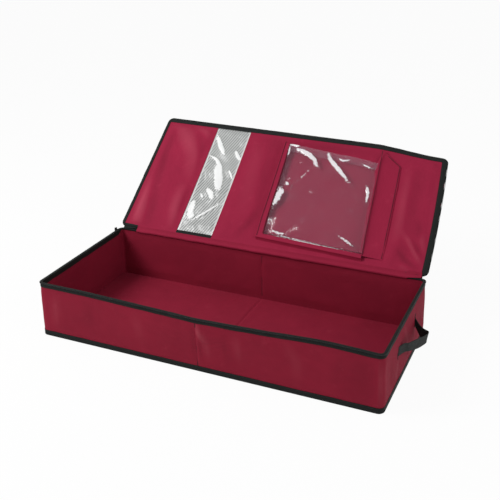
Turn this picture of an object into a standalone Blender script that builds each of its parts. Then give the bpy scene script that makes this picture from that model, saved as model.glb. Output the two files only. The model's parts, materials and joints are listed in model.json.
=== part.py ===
"""Gift wrap organizer: a long, shallow fabric box with boards in its walls and a hinged, zipped lid.

Units are metres, +Z is up and the front faces -Y. The origin is the middle of the underside.
The lid is modelled lying closed around its hinge line and then turned open by its parent empty:
in the lid's own axes the lid runs towards -Y, its cover faces +Z and its lining faces -Z.
"""
import math

import bmesh
import bpy

# Thicknesses of what the box is sewn from
FABRIC = 0.0006
TAPE = 0.0006
VINYL = 0.0005
WALL_BOARD = 0.0025
BASE_BOARD = 0.0025
LID_BOARD = 0.0020
FIT_GAP = 0.0003

# Box, measured on the outer fabric
BOX_WIDTH = 0.880
BOX_DEPTH = 0.375
BOX_HEIGHT = 0.143
CORNER_RADIUS = 0.014
LEAST_RADIUS = 0.001
CORNER_STEPS = 6
CENTRE_SEAM = 0.003

# Walls: fabric, board and lining from outside to inside
WALL = FABRIC + FIT_GAP + WALL_BOARD + FIT_GAP + FABRIC
WALL_FOOT_Z = TAPE + FIT_GAP + FABRIC + FIT_GAP
WALL_TOP_Z = BOX_HEIGHT - TAPE - FIT_GAP

# Floor, and the tape that binds its edge
BOTTOM_BAND = 0.014
FLOOR_STEP = 0.003
BASE_BOARD_Z = FABRIC + FIT_GAP
FLOOR_LINING_Z = BASE_BOARD_Z + BASE_BOARD + FIT_GAP

# Rim tape, which also wraps round the rear corners
RIM_BAND = 0.011
RIM_INNER_BAND = 0.014
CORNER_WRAP = 0.053
WRAP_X = BOX_WIDTH / 2 - CORNER_WRAP

# Zipper coils, on the outer faces of the two tapes
COIL_WIDTH = 0.0020
COIL_THICK = 0.0014
COIL_IN = FIT_GAP + TAPE + FIT_GAP
COIL_OUT = COIL_IN + COIL_THICK
RIM_COIL_DROP = 0.0002
RIM_COIL_TOP_Z = BOX_HEIGHT - RIM_COIL_DROP

# Lid stack, half on each side of its middle plane
LID_HALF = LID_BOARD / 2 + FIT_GAP + FABRIC
LID_BORDER_HALF = LID_HALF + FIT_GAP + TAPE
LID_TRIM = 0.013
LID_BOARD_INSET = 0.001
LID_REST_DEG = 141

# Hinge: a rolled fabric edge on the tray, and the lid's hem beside it
HINGE_ROLL = 0.0008
HINGE_CLEARANCE = 0.00045
HINGE_STRIP_DROP = 0.020
HINGE_ROLL_STEPS = 10
HINGE_Y = BOX_DEPTH / 2 + FIT_GAP + FABRIC
HINGE_Z = BOX_HEIGHT + FIT_GAP + LID_BORDER_HALF
HEM_START = HINGE_ROLL + HINGE_CLEARANCE
HEM_DEPTH = 0.014
LID_REAR = HEM_START + COIL_OUT
LID_FRONT = HINGE_Y + BOX_DEPTH / 2

# Window strip in the lid
WINDOW_LEFT = -0.265
WINDOW_WIDTH = 0.109
WINDOW_RIGHT = WINDOW_LEFT + WINDOW_WIDTH
WINDOW_LAP = 0.006
WINDOW_SLOT = 0.005

# Bellows pocket on the lid's lining, distances along the lid counted from the hinge
POCKET_LEFT = -0.040
POCKET_WIDTH = 0.300
POCKET_RIGHT = POCKET_LEFT + POCKET_WIDTH
POCKET_BOTTOM = 0.026
POCKET_TALL = 0.312
POCKET_TOP = POCKET_BOTTOM + POCKET_TALL
POCKET_DEPTH = 0.014
POCKET_FLANGE = 0.009
POCKET_LAP = 0.004
FRAME_SIDE = 0.016
FRAME_BOTTOM = 0.008
VINYL_HEM = 0.025
PLEAT_FOLD = 0.008
GUSSET_SPREAD = 0.053
GUSSET_SLOPE = 0.015
BOTTOM_GUSSET_RUN = 0.004
LINING_FACE = -LID_HALF
LINING_SEAT = LINING_FACE - FIT_GAP - FABRIC / 2
VINYL_BACK = LINING_FACE - POCKET_DEPTH
FRAME_BACK = VINYL_BACK - 2 * VINYL - FIT_GAP

# Webbing handles, one on each end
STRAP_WIDTH = 0.025
STRAP_THICK = 0.0015
HANDLE_Z = 0.086
HANDLE_SPAN = 0.156
HANDLE_REACH = 0.042
SLIT_HEIGHT = 0.032
SLIT_EDGING = 0.003
STRAP_END_OUT = FIT_GAP + FABRIC + FIT_GAP
HANDLE_AXIS_OUT = STRAP_END_OUT + FIT_GAP + STRAP_WIDTH / 2
STRAP_TIP_DEGS = (15, 30, 45, 60, 75)
STRAP_STEPS = 16
STRAP_FRONT_PULL_share = 0.42
BEZIER_MIDDLE_share = 0.375

# Zipper slider on the left end of the rim, and its pull
SLIDER_LENGTH = 0.009
SLIDER_PLATE = 0.0013
SLIDER_LIP = 0.0009
SLIDER_RISE = 0.006
SLIDER_PARK = 0.022
SLIDER_PARK_Y = BOX_DEPTH / 2 - SLIDER_PARK
SLIDER_OUT = COIL_OUT + FIT_GAP
CROWN_WIDTH = 0.003
CROWN_WALL = 0.0008
CROWN_SET = 0.0002
PULL_PIN = 0.0007
PULL_WIDTH = 0.008
PULL_LENGTH = 0.020
PULL_THICK = 0.0012
PULL_EYE_WIDTH = 0.0042
PULL_EYE_TALL = 0.004
PULL_HOLE = PULL_PIN + FIT_GAP
PULL_OUT = SLIDER_OUT + SLIDER_PLATE + CROWN_SET + PULL_HOLE
PULL_Z = RIM_COIL_TOP_Z + SLIDER_RISE - CROWN_SET - CROWN_WALL - PULL_HOLE

# Edges sharper than this stay sharp where a surface is shaded smooth
SHARP_EDGE_DEG = 35

# Surface colours and finishes: colour, roughness, metallic
BURGUNDY = ((0.210, 0.016, 0.052), 0.85, 0.0)
BURGUNDY_LINING = ((0.260, 0.018, 0.060), 0.80, 0.0)
BLACK_TAPE = ((0.012, 0.016, 0.015), 0.75, 0.0)
BLACK_WEBBING = ((0.018, 0.024, 0.022), 0.70, 0.0)
BLACK_NYLON = ((0.015, 0.017, 0.017), 0.45, 0.0)
CLEAR_VINYL = ((0.72, 0.74, 0.74), 0.15, 0.0)
GREY_CARDBOARD = ((0.36, 0.30, 0.24), 0.90, 0.0)
BLACK_METAL = ((0.03, 0.03, 0.03), 0.35, 0.9)


def clear_scene():
    """Remove what the file opened with."""
    for thing in list(bpy.data.objects):
        bpy.data.objects.remove(thing, do_unlink=True)


def add_material(name, finish):
    """One Principled material for one sub-part."""
    colour, roughness, metallic = finish
    material = bpy.data.materials.new(name)
    material.use_nodes = True
    shader = material.node_tree.nodes["Principled BSDF"]
    shader.inputs["Base Color"].default_value = (*colour, 1)
    shader.inputs["Roughness"].default_value = roughness
    shader.inputs["Metallic"].default_value = metallic
    return material


def add_object(name, mesh, finish, parent=None, place=(0, 0, 0)):
    """Turn a bmesh into a named object with its own material."""
    bmesh.ops.recalc_face_normals(mesh, faces=mesh.faces)
    data = bpy.data.meshes.new(name)
    mesh.to_mesh(data)
    mesh.free()
    data.shade_smooth()
    data.set_sharp_from_angle(angle=math.radians(SHARP_EDGE_DEG))
    thing = bpy.data.objects.new(name, data)
    bpy.context.collection.objects.link(thing)
    data.materials.append(add_material(name, finish))
    thing.location = place
    thing.parent = parent
    return thing


def add_empty(name, place, rotation=(0, 0, 0)):
    """A parent empty on a joint's axis."""
    thing = bpy.data.objects.new(name, None)
    bpy.context.collection.objects.link(thing)
    thing.location = place
    thing.rotation_euler = rotation
    return thing


def skin_loops(loops, closed=False):
    """Join a row of equal loops into one closed body, capped at its ends or joined end to end."""
    mesh = bmesh.new()
    rings = [[mesh.verts.new(point) for point in loop] for loop in loops]
    if closed:
        rings.append(rings[0])
    for first, second in zip(rings, rings[1:]):
        for here in range(len(first)):
            there = (here + 1) % len(first)
            mesh.faces.new((first[here], first[there], second[there], second[here]))
    if not closed:
        caps = [mesh.faces.new(rings[0]), mesh.faces.new(rings[-1])]
        mesh.normal_update()
        bmesh.ops.triangulate(mesh, faces=caps)
    return mesh


def arc(centre, radius, start_deg):
    """A quarter turn of points; a radius of zero leaves the corner as one point."""
    if radius == 0:
        return [centre]
    turns = [math.radians(start_deg + 90 * step / CORNER_STEPS) for step in range(CORNER_STEPS + 1)]
    return [(centre[0] + radius * math.cos(turn), centre[1] + radius * math.sin(turn)) for turn in turns]


def corner_arcs(low, high, left_radius, right_radius):
    """The four corners of a rounded rectangle: front left, front right, rear right, rear left."""
    (left, front), (right, rear) = low, high
    return [
        arc((left + left_radius, front + left_radius), left_radius, 180),
        arc((right - right_radius, front + right_radius), right_radius, 270),
        arc((right - right_radius, rear - right_radius), right_radius, 0),
        arc((left + left_radius, rear - left_radius), left_radius, 90),
    ]


def rounded_rectangle(low, high, left_radius, right_radius):
    """The outline of a panel with round corners at its left and its right."""
    front_left, front_right, rear_right, rear_left = corner_arcs(low, high, left_radius, right_radius)
    return front_left + front_right + rear_right + rear_left


def grown_corners(front, rear, out):
    """The box's rounded corners, moved outwards by out."""
    half = BOX_WIDTH / 2 + out
    radius = max(CORNER_RADIUS + out, LEAST_RADIUS)
    return corner_arcs((-half, front - out), (half, rear + out), radius, radius)


def ring_path(front, rear, out):
    """All the way round the box at a distance out from its outer fabric."""
    front_left, front_right, rear_right, rear_left = grown_corners(front, rear, out)
    return front_left + front_right + rear_right + rear_left


def band_path(front, rear, out):
    """Round the front and both ends, and a little way along the rear from each corner."""
    front_left, front_right, rear_right, rear_left = grown_corners(front, rear, out)
    start = [(-WRAP_X, rear + out)]
    end = [(WRAP_X, rear + out)]
    return start + rear_left + front_left + front_right + rear_right + end


def left_end_path(front, rear, out):
    """Round the two corners at the left."""
    front_left, front_right, rear_right, rear_left = grown_corners(front, rear, out)
    return rear_left + front_left


def right_end_path(front, rear, out):
    """Round the two corners at the right."""
    front_left, front_right, rear_right, rear_left = grown_corners(front, rear, out)
    return front_right + rear_right


def swept(path, front, rear, section, closed):
    """Carry a section of (out, up) points along one of the paths."""
    rails = [path(front, rear, out) for out, up in section]
    loops = [[(x, y, up) for (x, y), (out, up) in zip(station, section)] for station in zip(*rails)]
    return skin_loops(loops, closed)


def slab(outline, low, high):
    """A flat panel between two heights."""
    return skin_loops([[(x, y, low) for x, y in outline], [(x, y, high) for x, y in outline]])


def block(low, high):
    """A box between two opposite corners."""
    return slab(rounded_rectangle(low[:2], high[:2], 0, 0), low[2], high[2])


def ribbon(line, thickness):
    """The section of a folded strip: a line of points given a thickness, mitred at its folds."""
    normals = []
    for (x0, y0), (x1, y1) in zip(line, line[1:]):
        length = math.hypot(x1 - x0, y1 - y0)
        normals.append(((y0 - y1) / length, (x1 - x0) / length))
    befores = [normals[0]] + normals
    afters = normals + [normals[-1]]
    near, far = [], []
    for (x, y), (ax, ay), (bx, by) in zip(line, befores, afters):
        scale = thickness / 2 * 2 / ((ax + bx) ** 2 + (ay + by) ** 2)
        shift_x = (ax + bx) * scale
        shift_y = (ay + by) * scale
        near.append((x + shift_x, y + shift_y))
        far.append((x - shift_x, y - shift_y))
    return near + far[::-1]


def build_walls():
    """Outer fabric, lining and the boards between them."""
    front, rear = -BOX_DEPTH / 2, BOX_DEPTH / 2
    for name, outer, finish in (
        ("tray_outer_fabric", 0, BURGUNDY),
        ("tray_lining", FABRIC - WALL, BURGUNDY_LINING),
    ):
        inner = outer - FABRIC
        section = [(inner, WALL_FOOT_Z), (outer, WALL_FOOT_Z), (outer, WALL_TOP_Z), (inner, WALL_TOP_Z)]
        band = add_object(name, swept(ring_path, front, rear, section, True), finish)
        if outer == 0:
            cut_slits(band)
    board_out = FABRIC + FIT_GAP
    board_in = board_out + WALL_BOARD
    corner_x = BOX_WIDTH / 2 - CORNER_RADIUS - FIT_GAP
    seam = CENTRE_SEAM / 2
    for name, low_y, high_y in (
        ("front", front + board_out, front + board_in),
        ("rear", rear - board_in, rear - board_out),
    ):
        left = block((-corner_x, low_y, WALL_FOOT_Z), (-seam, high_y, WALL_TOP_Z))
        right = block((seam, low_y, WALL_FOOT_Z), (corner_x, high_y, WALL_TOP_Z))
        add_object(name + "_board_left", left, GREY_CARDBOARD)
        add_object(name + "_board_right", right, GREY_CARDBOARD)
    section = [
        (-board_in, WALL_FOOT_Z),
        (-board_out, WALL_FOOT_Z),
        (-board_out, WALL_TOP_Z),
        (-board_in, WALL_TOP_Z),
    ]
    for name, path in (("end_board_left", left_end_path), ("end_board_right", right_end_path)):
        add_object(name, swept(path, front, rear, section, False), GREY_CARDBOARD)


def cut_slits(band):
    """Cut the four slits that the handles' webbing comes out of."""
    half_y = STRAP_THICK / 2 + FIT_GAP
    half_z = SLIT_HEIGHT / 2
    reach = 2 * FABRIC
    for side in (-1, 1):
        for end in (-1, 1):
            cutter = add_object(
                "slit_cutter",
                block((-reach, -half_y, -half_z), (reach, half_y, half_z)),
                BURGUNDY,
                place=(side * BOX_WIDTH / 2, end * HANDLE_SPAN / 2, HANDLE_Z),
            )
            cutter.hide_render = True
            cutter.display_type = "WIRE"
            cut = band.modifiers.new("slit", "BOOLEAN")
            cut.operation = "DIFFERENCE"
            cut.solver = "EXACT"
            cut.object = cutter


def build_floor():
    """Bottom fabric, two base boards, the floor's lining and the tape round the bottom edge."""
    front, rear = -BOX_DEPTH / 2, BOX_DEPTH / 2
    edge = -WALL - FIT_GAP
    flat = edge - FLOOR_STEP
    raised = TAPE + FIT_GAP
    levels = (
        (flat, 0),
        (edge, raised),
        (0, raised),
        (0, raised + FABRIC),
        (edge, raised + FABRIC),
        (flat, FABRIC),
    )
    loops = [[(x, y, z) for x, y in ring_path(front, rear, out)] for out, z in levels]
    add_object("bottom_fabric", skin_loops(loops), BURGUNDY)

    half_x = BOX_WIDTH / 2 + flat - FIT_GAP
    half_y = BOX_DEPTH / 2 + flat - FIT_GAP
    radius = max(CORNER_RADIUS + flat - FIT_GAP, LEAST_RADIUS)
    seam = CENTRE_SEAM / 2
    top = BASE_BOARD_Z + BASE_BOARD
    left = rounded_rectangle((-half_x, -half_y), (-seam, half_y), radius, 0)
    right = rounded_rectangle((seam, -half_y), (half_x, half_y), 0, radius)
    add_object("base_board_left", slab(left, BASE_BOARD_Z, top), GREY_CARDBOARD)
    add_object("base_board_right", slab(right, BASE_BOARD_Z, top), GREY_CARDBOARD)

    lining = ring_path(front, rear, edge)
    add_object("bottom_lining", slab(lining, FLOOR_LINING_Z, FLOOR_LINING_Z + FABRIC), BURGUNDY_LINING)

    section = [
        (-WALL, 0),
        (FIT_GAP + TAPE, 0),
        (FIT_GAP + TAPE, BOTTOM_BAND),
        (FIT_GAP, BOTTOM_BAND),
        (FIT_GAP, TAPE),
        (-WALL, TAPE),
    ]
    add_object("bottom_binding", swept(ring_path, front, rear, section, True), BLACK_TAPE)


def coil_section(middle):
    """A zipper coil's section, beside the tape that carries it."""
    return [
        (COIL_IN, middle - COIL_WIDTH / 2),
        (COIL_OUT, middle - COIL_WIDTH / 2),
        (COIL_OUT, middle + COIL_WIDTH / 2),
        (COIL_IN, middle + COIL_WIDTH / 2),
    ]


def build_rim():
    """The rim's tape and coil, and the fabric strip along the rear that carries the lid."""
    front, rear = -BOX_DEPTH / 2, BOX_DEPTH / 2
    under = BOX_HEIGHT - TAPE
    inside = -WALL - FIT_GAP
    tape = [
        (FIT_GAP, BOX_HEIGHT - RIM_BAND),
        (FIT_GAP + TAPE, BOX_HEIGHT - RIM_BAND),
        (FIT_GAP + TAPE, BOX_HEIGHT),
        (inside - TAPE, BOX_HEIGHT),
        (inside - TAPE, BOX_HEIGHT - RIM_INNER_BAND),
        (inside, BOX_HEIGHT - RIM_INNER_BAND),
        (inside, under),
        (FIT_GAP, under),
    ]
    add_object("rim_zipper_tape", swept(band_path, front, rear, tape, False), BLACK_TAPE)
    coil = coil_section(RIM_COIL_TOP_Z - COIL_WIDTH / 2)
    add_object("rim_zipper_coil", swept(band_path, front, rear, coil, False), BLACK_NYLON)

    neck = math.acos(FABRIC / HINGE_ROLL)
    turns = [
        math.pi + neck - (math.pi + 2 * neck) * step / HINGE_ROLL_STEPS
        for step in range(HINGE_ROLL_STEPS + 1)
    ]
    roll = [(HINGE_Y + HINGE_ROLL * math.cos(turn), HINGE_Z + HINGE_ROLL * math.sin(turn)) for turn in turns]
    strip = [
        (rear + inside - FABRIC, BOX_HEIGHT - RIM_INNER_BAND),
        (rear + inside - FABRIC, BOX_HEIGHT),
        (HINGE_Y - FABRIC, BOX_HEIGHT),
        *roll,
        (HINGE_Y + FABRIC, BOX_HEIGHT - HINGE_STRIP_DROP),
        (HINGE_Y - FABRIC, BOX_HEIGHT - HINGE_STRIP_DROP),
        (HINGE_Y - FABRIC, BOX_HEIGHT - FABRIC),
        (rear + inside, BOX_HEIGHT - FABRIC),
        (rear + inside, BOX_HEIGHT - RIM_INNER_BAND),
    ]
    half = WRAP_X - FIT_GAP
    add_object("hinge_strip", skin_loops([[(x, y, z) for y, z in strip] for x in (-half, half)]), BURGUNDY)


def strap_stations():
    """Points (out, along, half width, normal) down the middle of a handle's webbing."""
    radius = STRAP_WIDTH / 2
    half_span = HANDLE_SPAN / 2
    tips = []
    for degrees in STRAP_TIP_DEGS:
        turn = math.radians(degrees)
        tips.append((HANDLE_AXIS_OUT - radius * math.cos(turn), radius * math.sin(turn)))
    stations = [(out, -half_span, half, (0, 1)) for out, half in tips]
    pull = (HANDLE_REACH - HANDLE_AXIS_OUT) / BEZIER_MIDDLE_share
    front_pull = pull * STRAP_FRONT_PULL_share
    rear_pull = pull - front_pull
    for step in range(STRAP_STEPS + 1):
        t = step / STRAP_STEPS
        out = HANDLE_AXIS_OUT + 3 * t * (1 - t) * ((1 - t) * front_pull + t * rear_pull)
        along = half_span * (t * t * (3 - 2 * t) * 2 - 1)
        slope_out = 3 * ((1 - t) * (1 - 3 * t) * front_pull + t * (2 - 3 * t) * rear_pull)
        slope_along = half_span * 12 * t * (1 - t)
        length = math.hypot(slope_out, slope_along)
        stations.append((out, along, radius, (-slope_along / length, slope_out / length)))
    stations += [(out, half_span, half, (0, -1)) for out, half in tips[::-1]]
    return stations


def build_handles():
    """Two webbing loops, the ends that are sewn into the walls, and the slits' edging."""
    half_y = STRAP_THICK / 2
    half_z = STRAP_WIDTH / 2
    slit_y = half_y + FIT_GAP
    slit_z = SLIT_HEIGHT / 2
    for side_name, side in (("left", -1), ("right", 1)):
        wall_x = side * BOX_WIDTH / 2
        loops = []
        for out, along, half, (normal_out, normal_along) in strap_stations():
            loop = []
            for across, up in ((-half_y, -half), (half_y, -half), (half_y, half), (-half_y, half)):
                x = side * (out - HANDLE_AXIS_OUT + across * normal_out)
                loop.append((x, along + across * normal_along, up))
            loops.append(loop)
        name = "handle_" + side_name
        place = (wall_x + side * HANDLE_AXIS_OUT, 0, HANDLE_Z)
        add_object(name + "_strap", skin_loops(loops), BLACK_WEBBING, place=place)
        for end_name, end in (("front", -1), ("rear", 1)):
            place = (wall_x, end * HANDLE_SPAN / 2, HANDLE_Z)
            reach = sorted((-side * FABRIC, side * STRAP_END_OUT))
            webbing = block((reach[0], -half_y, -half_z), (reach[1], half_y, half_z))
            add_object(name + "_" + end_name + "_end", webbing, BLACK_WEBBING, place=place)
            loops = []
            for grow, out in (
                (0, FIT_GAP),
                (SLIT_EDGING, FIT_GAP),
                (SLIT_EDGING, FIT_GAP + FABRIC),
                (0, FIT_GAP + FABRIC),
            ):
                y, z, x = slit_y + grow, slit_z + grow, side * out
                loops.append([(x, -y, -z), (x, y, -z), (x, y, z), (x, -y, z)])
            edging = skin_loops(loops, closed=True)
            add_object(name + "_" + end_name + "_slit", edging, BURGUNDY, place=place)


def build_slider():
    """The slider that grips the rim's coil, with the crown that its pull hangs in."""
    coil_top = RIM_COIL_TOP_Z
    coil_foot = RIM_COIL_TOP_Z - COIL_WIDTH
    plate_out = SLIDER_OUT + SLIDER_PLATE
    top = coil_top + SLIDER_RISE
    body = [
        (plate_out, coil_foot - FIT_GAP - SLIDER_LIP),
        (plate_out, top),
        (SLIDER_OUT, top),
        (SLIDER_OUT, coil_top + FIT_GAP + SLIDER_LIP),
        (COIL_IN, coil_top + FIT_GAP + SLIDER_LIP),
        (COIL_IN, coil_top + FIT_GAP),
        (SLIDER_OUT, coil_top + FIT_GAP),
        (SLIDER_OUT, coil_foot - FIT_GAP),
        (COIL_IN, coil_foot - FIT_GAP),
        (COIL_IN, coil_foot - FIT_GAP - SLIDER_LIP),
    ]
    half = SLIDER_LENGTH / 2
    place = (-BOX_WIDTH / 2, SLIDER_PARK_Y, 0)
    loops = [[(-out, y, z) for out, z in body] for y in (-half, half)]
    slider = add_object("zipper_slider", skin_loops(loops), BLACK_METAL, place=place)

    outside = PULL_HOLE + CROWN_WALL
    half = CROWN_WIDTH / 2
    loops = []
    for reach, y in ((PULL_HOLE, -half), (outside, -half), (outside, half), (PULL_HOLE, half)):
        left, right = -PULL_OUT - reach, -PULL_OUT + reach
        low, high = PULL_Z - reach, PULL_Z + reach
        loops.append([(left, y, low), (right, y, low), (right, y, high), (left, y, high)])
    crown = add_object("crown_cutter", skin_loops(loops, closed=True), BLACK_METAL, place=place)
    crown.hide_render = True
    crown.display_type = "WIRE"
    join = slider.modifiers.new("crown", "BOOLEAN")
    join.operation = "UNION"
    join.solver = "EXACT"
    join.object = crown


def build_pull():
    """The pull: a tab with an eye, whose upper bar lies in the slider's crown."""
    half = PULL_THICK / 2
    side = PULL_WIDTH / 2
    eye = PULL_EYE_WIDTH / 2
    foot = PULL_PIN - PULL_LENGTH
    loops = []
    for wide, low, high, x in (
        (side, foot, PULL_PIN, -half),
        (side, foot, PULL_PIN, half),
        (eye, -PULL_EYE_TALL, -PULL_PIN, half),
        (eye, -PULL_EYE_TALL, -PULL_PIN, -half),
    ):
        loops.append([(x, -wide, low), (x, wide, low), (x, wide, high), (x, -wide, high)])
    tab = skin_loops(loops, closed=True)
    place = (-BOX_WIDTH / 2 - PULL_OUT, SLIDER_PARK_Y, PULL_Z)
    add_object("zipper_pull", tab, BLACK_METAL, place=place)


def build_lid(lid):
    """Cover, lining and boards on each side of the window, the hems, and the zipped border."""
    half = BOX_WIDTH / 2
    inner = LID_BOARD / 2 + FIT_GAP
    board_half = half - LID_BOARD_INSET
    board_radius = CORNER_RADIUS - LID_BOARD_INSET
    board_low = -LID_FRONT + LID_BOARD_INSET
    board_high = -HEM_DEPTH - FIT_GAP
    panels = (
        ("left", -half, WINDOW_LEFT, CORNER_RADIUS, 0),
        ("right", WINDOW_RIGHT, half, 0, CORNER_RADIUS),
    )
    for name, left, right, left_radius, right_radius in panels:
        outline = rounded_rectangle((left, -LID_FRONT), (right, -LID_REAR), left_radius, right_radius)
        add_object("lid_cover_" + name, slab(outline, inner, LID_HALF), BURGUNDY, lid)
        add_object("lid_lining_" + name, slab(outline, -LID_HALF, -inner), BURGUNDY_LINING, lid)

    lap = WINDOW_LAP + FIT_GAP
    boards = (
        ("left", -board_half, WINDOW_LEFT - lap, board_radius, 0),
        ("right", WINDOW_RIGHT + lap, board_half, 0, board_radius),
    )
    for name, left, right, left_radius, right_radius in boards:
        outline = rounded_rectangle((left, board_low), (right, board_high), left_radius, right_radius)
        add_object("lid_board_" + name, slab(outline, -LID_BOARD / 2, LID_BOARD / 2), GREY_CARDBOARD, lid)

    slot_end = HEM_DEPTH - WINDOW_SLOT
    tongue_left = WINDOW_LEFT + 2 * FIT_GAP
    tongue_right = WINDOW_RIGHT - 2 * FIT_GAP
    window = [
        (WINDOW_LEFT - WINDOW_LAP, -LID_FRONT),
        (WINDOW_RIGHT + WINDOW_LAP, -LID_FRONT),
        (WINDOW_RIGHT + WINDOW_LAP, board_high),
        (tongue_right, board_high),
        (tongue_right, -slot_end - FIT_GAP),
        (tongue_left, -slot_end - FIT_GAP),
        (tongue_left, board_high),
        (WINDOW_LEFT - WINDOW_LAP, board_high),
    ]
    add_object("lid_window", slab(window, -VINYL / 2, VINYL / 2), CLEAR_VINYL, lid)

    slot = VINYL / 2 + FIT_GAP
    binding = [
        (-HEM_START, -FABRIC),
        (-LID_REAR, -FABRIC),
        (-LID_REAR, -LID_HALF),
        (-HEM_DEPTH, -LID_HALF),
        (-HEM_DEPTH, -slot),
        (-slot_end, -slot),
        (-slot_end, slot),
        (-HEM_DEPTH, slot),
        (-HEM_DEPTH, LID_HALF),
        (-LID_REAR, LID_HALF),
        (-LID_REAR, FABRIC),
        (-HEM_START, FABRIC),
    ]
    ends = (WINDOW_LEFT + FIT_GAP, WINDOW_RIGHT - FIT_GAP)
    binding_loops = [[(x, y, z) for y, z in binding] for x in ends]
    add_object("window_lower_binding", skin_loops(binding_loops), BLACK_TAPE, lid)

    hem_end = WRAP_X - FIT_GAP
    left_hem = block((-hem_end, -HEM_DEPTH, -FABRIC), (WINDOW_LEFT, -HEM_START, FABRIC))
    right_hem = block((WINDOW_RIGHT, -HEM_DEPTH, -FABRIC), (hem_end, -HEM_START, FABRIC))
    add_object("lid_hem_left", left_hem, BURGUNDY, lid)
    add_object("lid_hem_right", right_hem, BURGUNDY, lid)

    edge = FIT_GAP + TAPE
    leg = edge - LID_TRIM
    seat = LID_HALF + FIT_GAP
    tape = [
        (leg, LID_BORDER_HALF),
        (edge, LID_BORDER_HALF),
        (edge, -LID_BORDER_HALF),
        (leg, -LID_BORDER_HALF),
        (leg, -seat),
        (FIT_GAP, -seat),
        (FIT_GAP, seat),
        (leg, seat),
    ]
    add_object("lid_zipper_tape", swept(band_path, -LID_FRONT, -LID_REAR, tape, False), BLACK_TAPE, lid)
    coil = coil_section(0)
    add_object("lid_zipper_coil", swept(band_path, -LID_FRONT, -LID_REAR, coil, False), BLACK_NYLON, lid)


def build_pocket(lid):
    """The bellows pocket: a fabric frame and a vinyl front, held off the lining by folded sides."""
    frame_right = POCKET_LEFT + FRAME_SIDE + POCKET_LAP
    frame_top = POCKET_BOTTOM + FRAME_BOTTOM + POCKET_LAP
    frame = [
        (POCKET_LEFT, -POCKET_BOTTOM),
        (POCKET_RIGHT, -POCKET_BOTTOM),
        (POCKET_RIGHT, -frame_top),
        (frame_right, -frame_top),
        (frame_right, -POCKET_TOP),
        (POCKET_LEFT, -POCKET_TOP),
    ]
    add_object("pocket_frame", slab(frame, FRAME_BACK - FABRIC, FRAME_BACK), BURGUNDY_LINING, lid)

    hem = -POCKET_TOP + VINYL_HEM
    foot = -POCKET_BOTTOM - FRAME_BOTTOM
    vinyl = [
        (foot, VINYL_BACK),
        (foot, VINYL_BACK - VINYL),
        (hem, VINYL_BACK - VINYL),
        (hem, VINYL_BACK - 2 * VINYL),
        (-POCKET_TOP, VINYL_BACK - 2 * VINYL),
        (-POCKET_TOP, VINYL_BACK),
    ]
    vinyl_loops = [[(x, y, z) for y, z in vinyl] for x in (POCKET_LEFT + FRAME_SIDE, POCKET_RIGHT)]
    add_object("pocket_window", skin_loops(vinyl_loops), CLEAR_VINYL, lid)

    side_foot = POCKET_BOTTOM + POCKET_LAP + FIT_GAP
    pleat_end = FRAME_BACK + FIT_GAP + FABRIC
    pleat = ribbon(
        [
            (POCKET_LEFT - POCKET_FLANGE, LINING_SEAT),
            (POCKET_LEFT, LINING_SEAT),
            (POCKET_LEFT + PLEAT_FOLD, (LINING_SEAT + pleat_end) / 2),
            (POCKET_LEFT + FABRIC, pleat_end),
        ],
        FABRIC,
    )
    pleat_loops = [[(x, y, z) for x, z in pleat] for y in (-side_foot, -POCKET_TOP)]
    add_object("pocket_left_pleat", skin_loops(pleat_loops), BURGUNDY_LINING, lid)

    vinyl_seat = VINYL_BACK + FIT_GAP + FABRIC / 2
    gusset_foot = POCKET_RIGHT + GUSSET_SPREAD
    gusset = ribbon(
        [
            (POCKET_RIGHT - POCKET_LAP, vinyl_seat),
            (POCKET_RIGHT, vinyl_seat),
            (gusset_foot, LINING_SEAT),
            (gusset_foot + POCKET_FLANGE, LINING_SEAT),
        ],
        FABRIC,
    )
    lower = [(x, -side_foot, z) for x, z in gusset]
    upper = []
    for x, z in gusset:
        spread = min(max((x - POCKET_RIGHT) / GUSSET_SPREAD, 0), 1)
        upper.append((x, -POCKET_TOP + spread * GUSSET_SLOPE, z))
    add_object("pocket_right_gusset", skin_loops([lower, upper]), BURGUNDY_LINING, lid)

    frame_seat = FRAME_BACK + FIT_GAP + FABRIC / 2
    gusset_heel = POCKET_BOTTOM - BOTTOM_GUSSET_RUN
    bottom = ribbon(
        [
            (-POCKET_BOTTOM - POCKET_LAP, frame_seat),
            (-POCKET_BOTTOM, frame_seat),
            (-gusset_heel, LINING_SEAT),
            (-gusset_heel + POCKET_FLANGE, LINING_SEAT),
        ],
        FABRIC,
    )
    bottom_loops = [[(x, y, z) for y, z in bottom] for x in (POCKET_LEFT, POCKET_RIGHT)]
    add_object("pocket_bottom_gusset", skin_loops(bottom_loops), BURGUNDY_LINING, lid)


def main():
    clear_scene()
    build_walls()
    build_floor()
    build_rim()
    build_handles()
    build_slider()
    build_pull()
    lid = add_empty("lid_hinge", (0, HINGE_Y, HINGE_Z), (math.radians(-LID_REST_DEG), 0, 0))
    build_lid(lid)
    build_pocket(lid)


main()
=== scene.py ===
import json
import math

import bmesh
import bpy
from mathutils import Matrix, Vector, noise

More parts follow.
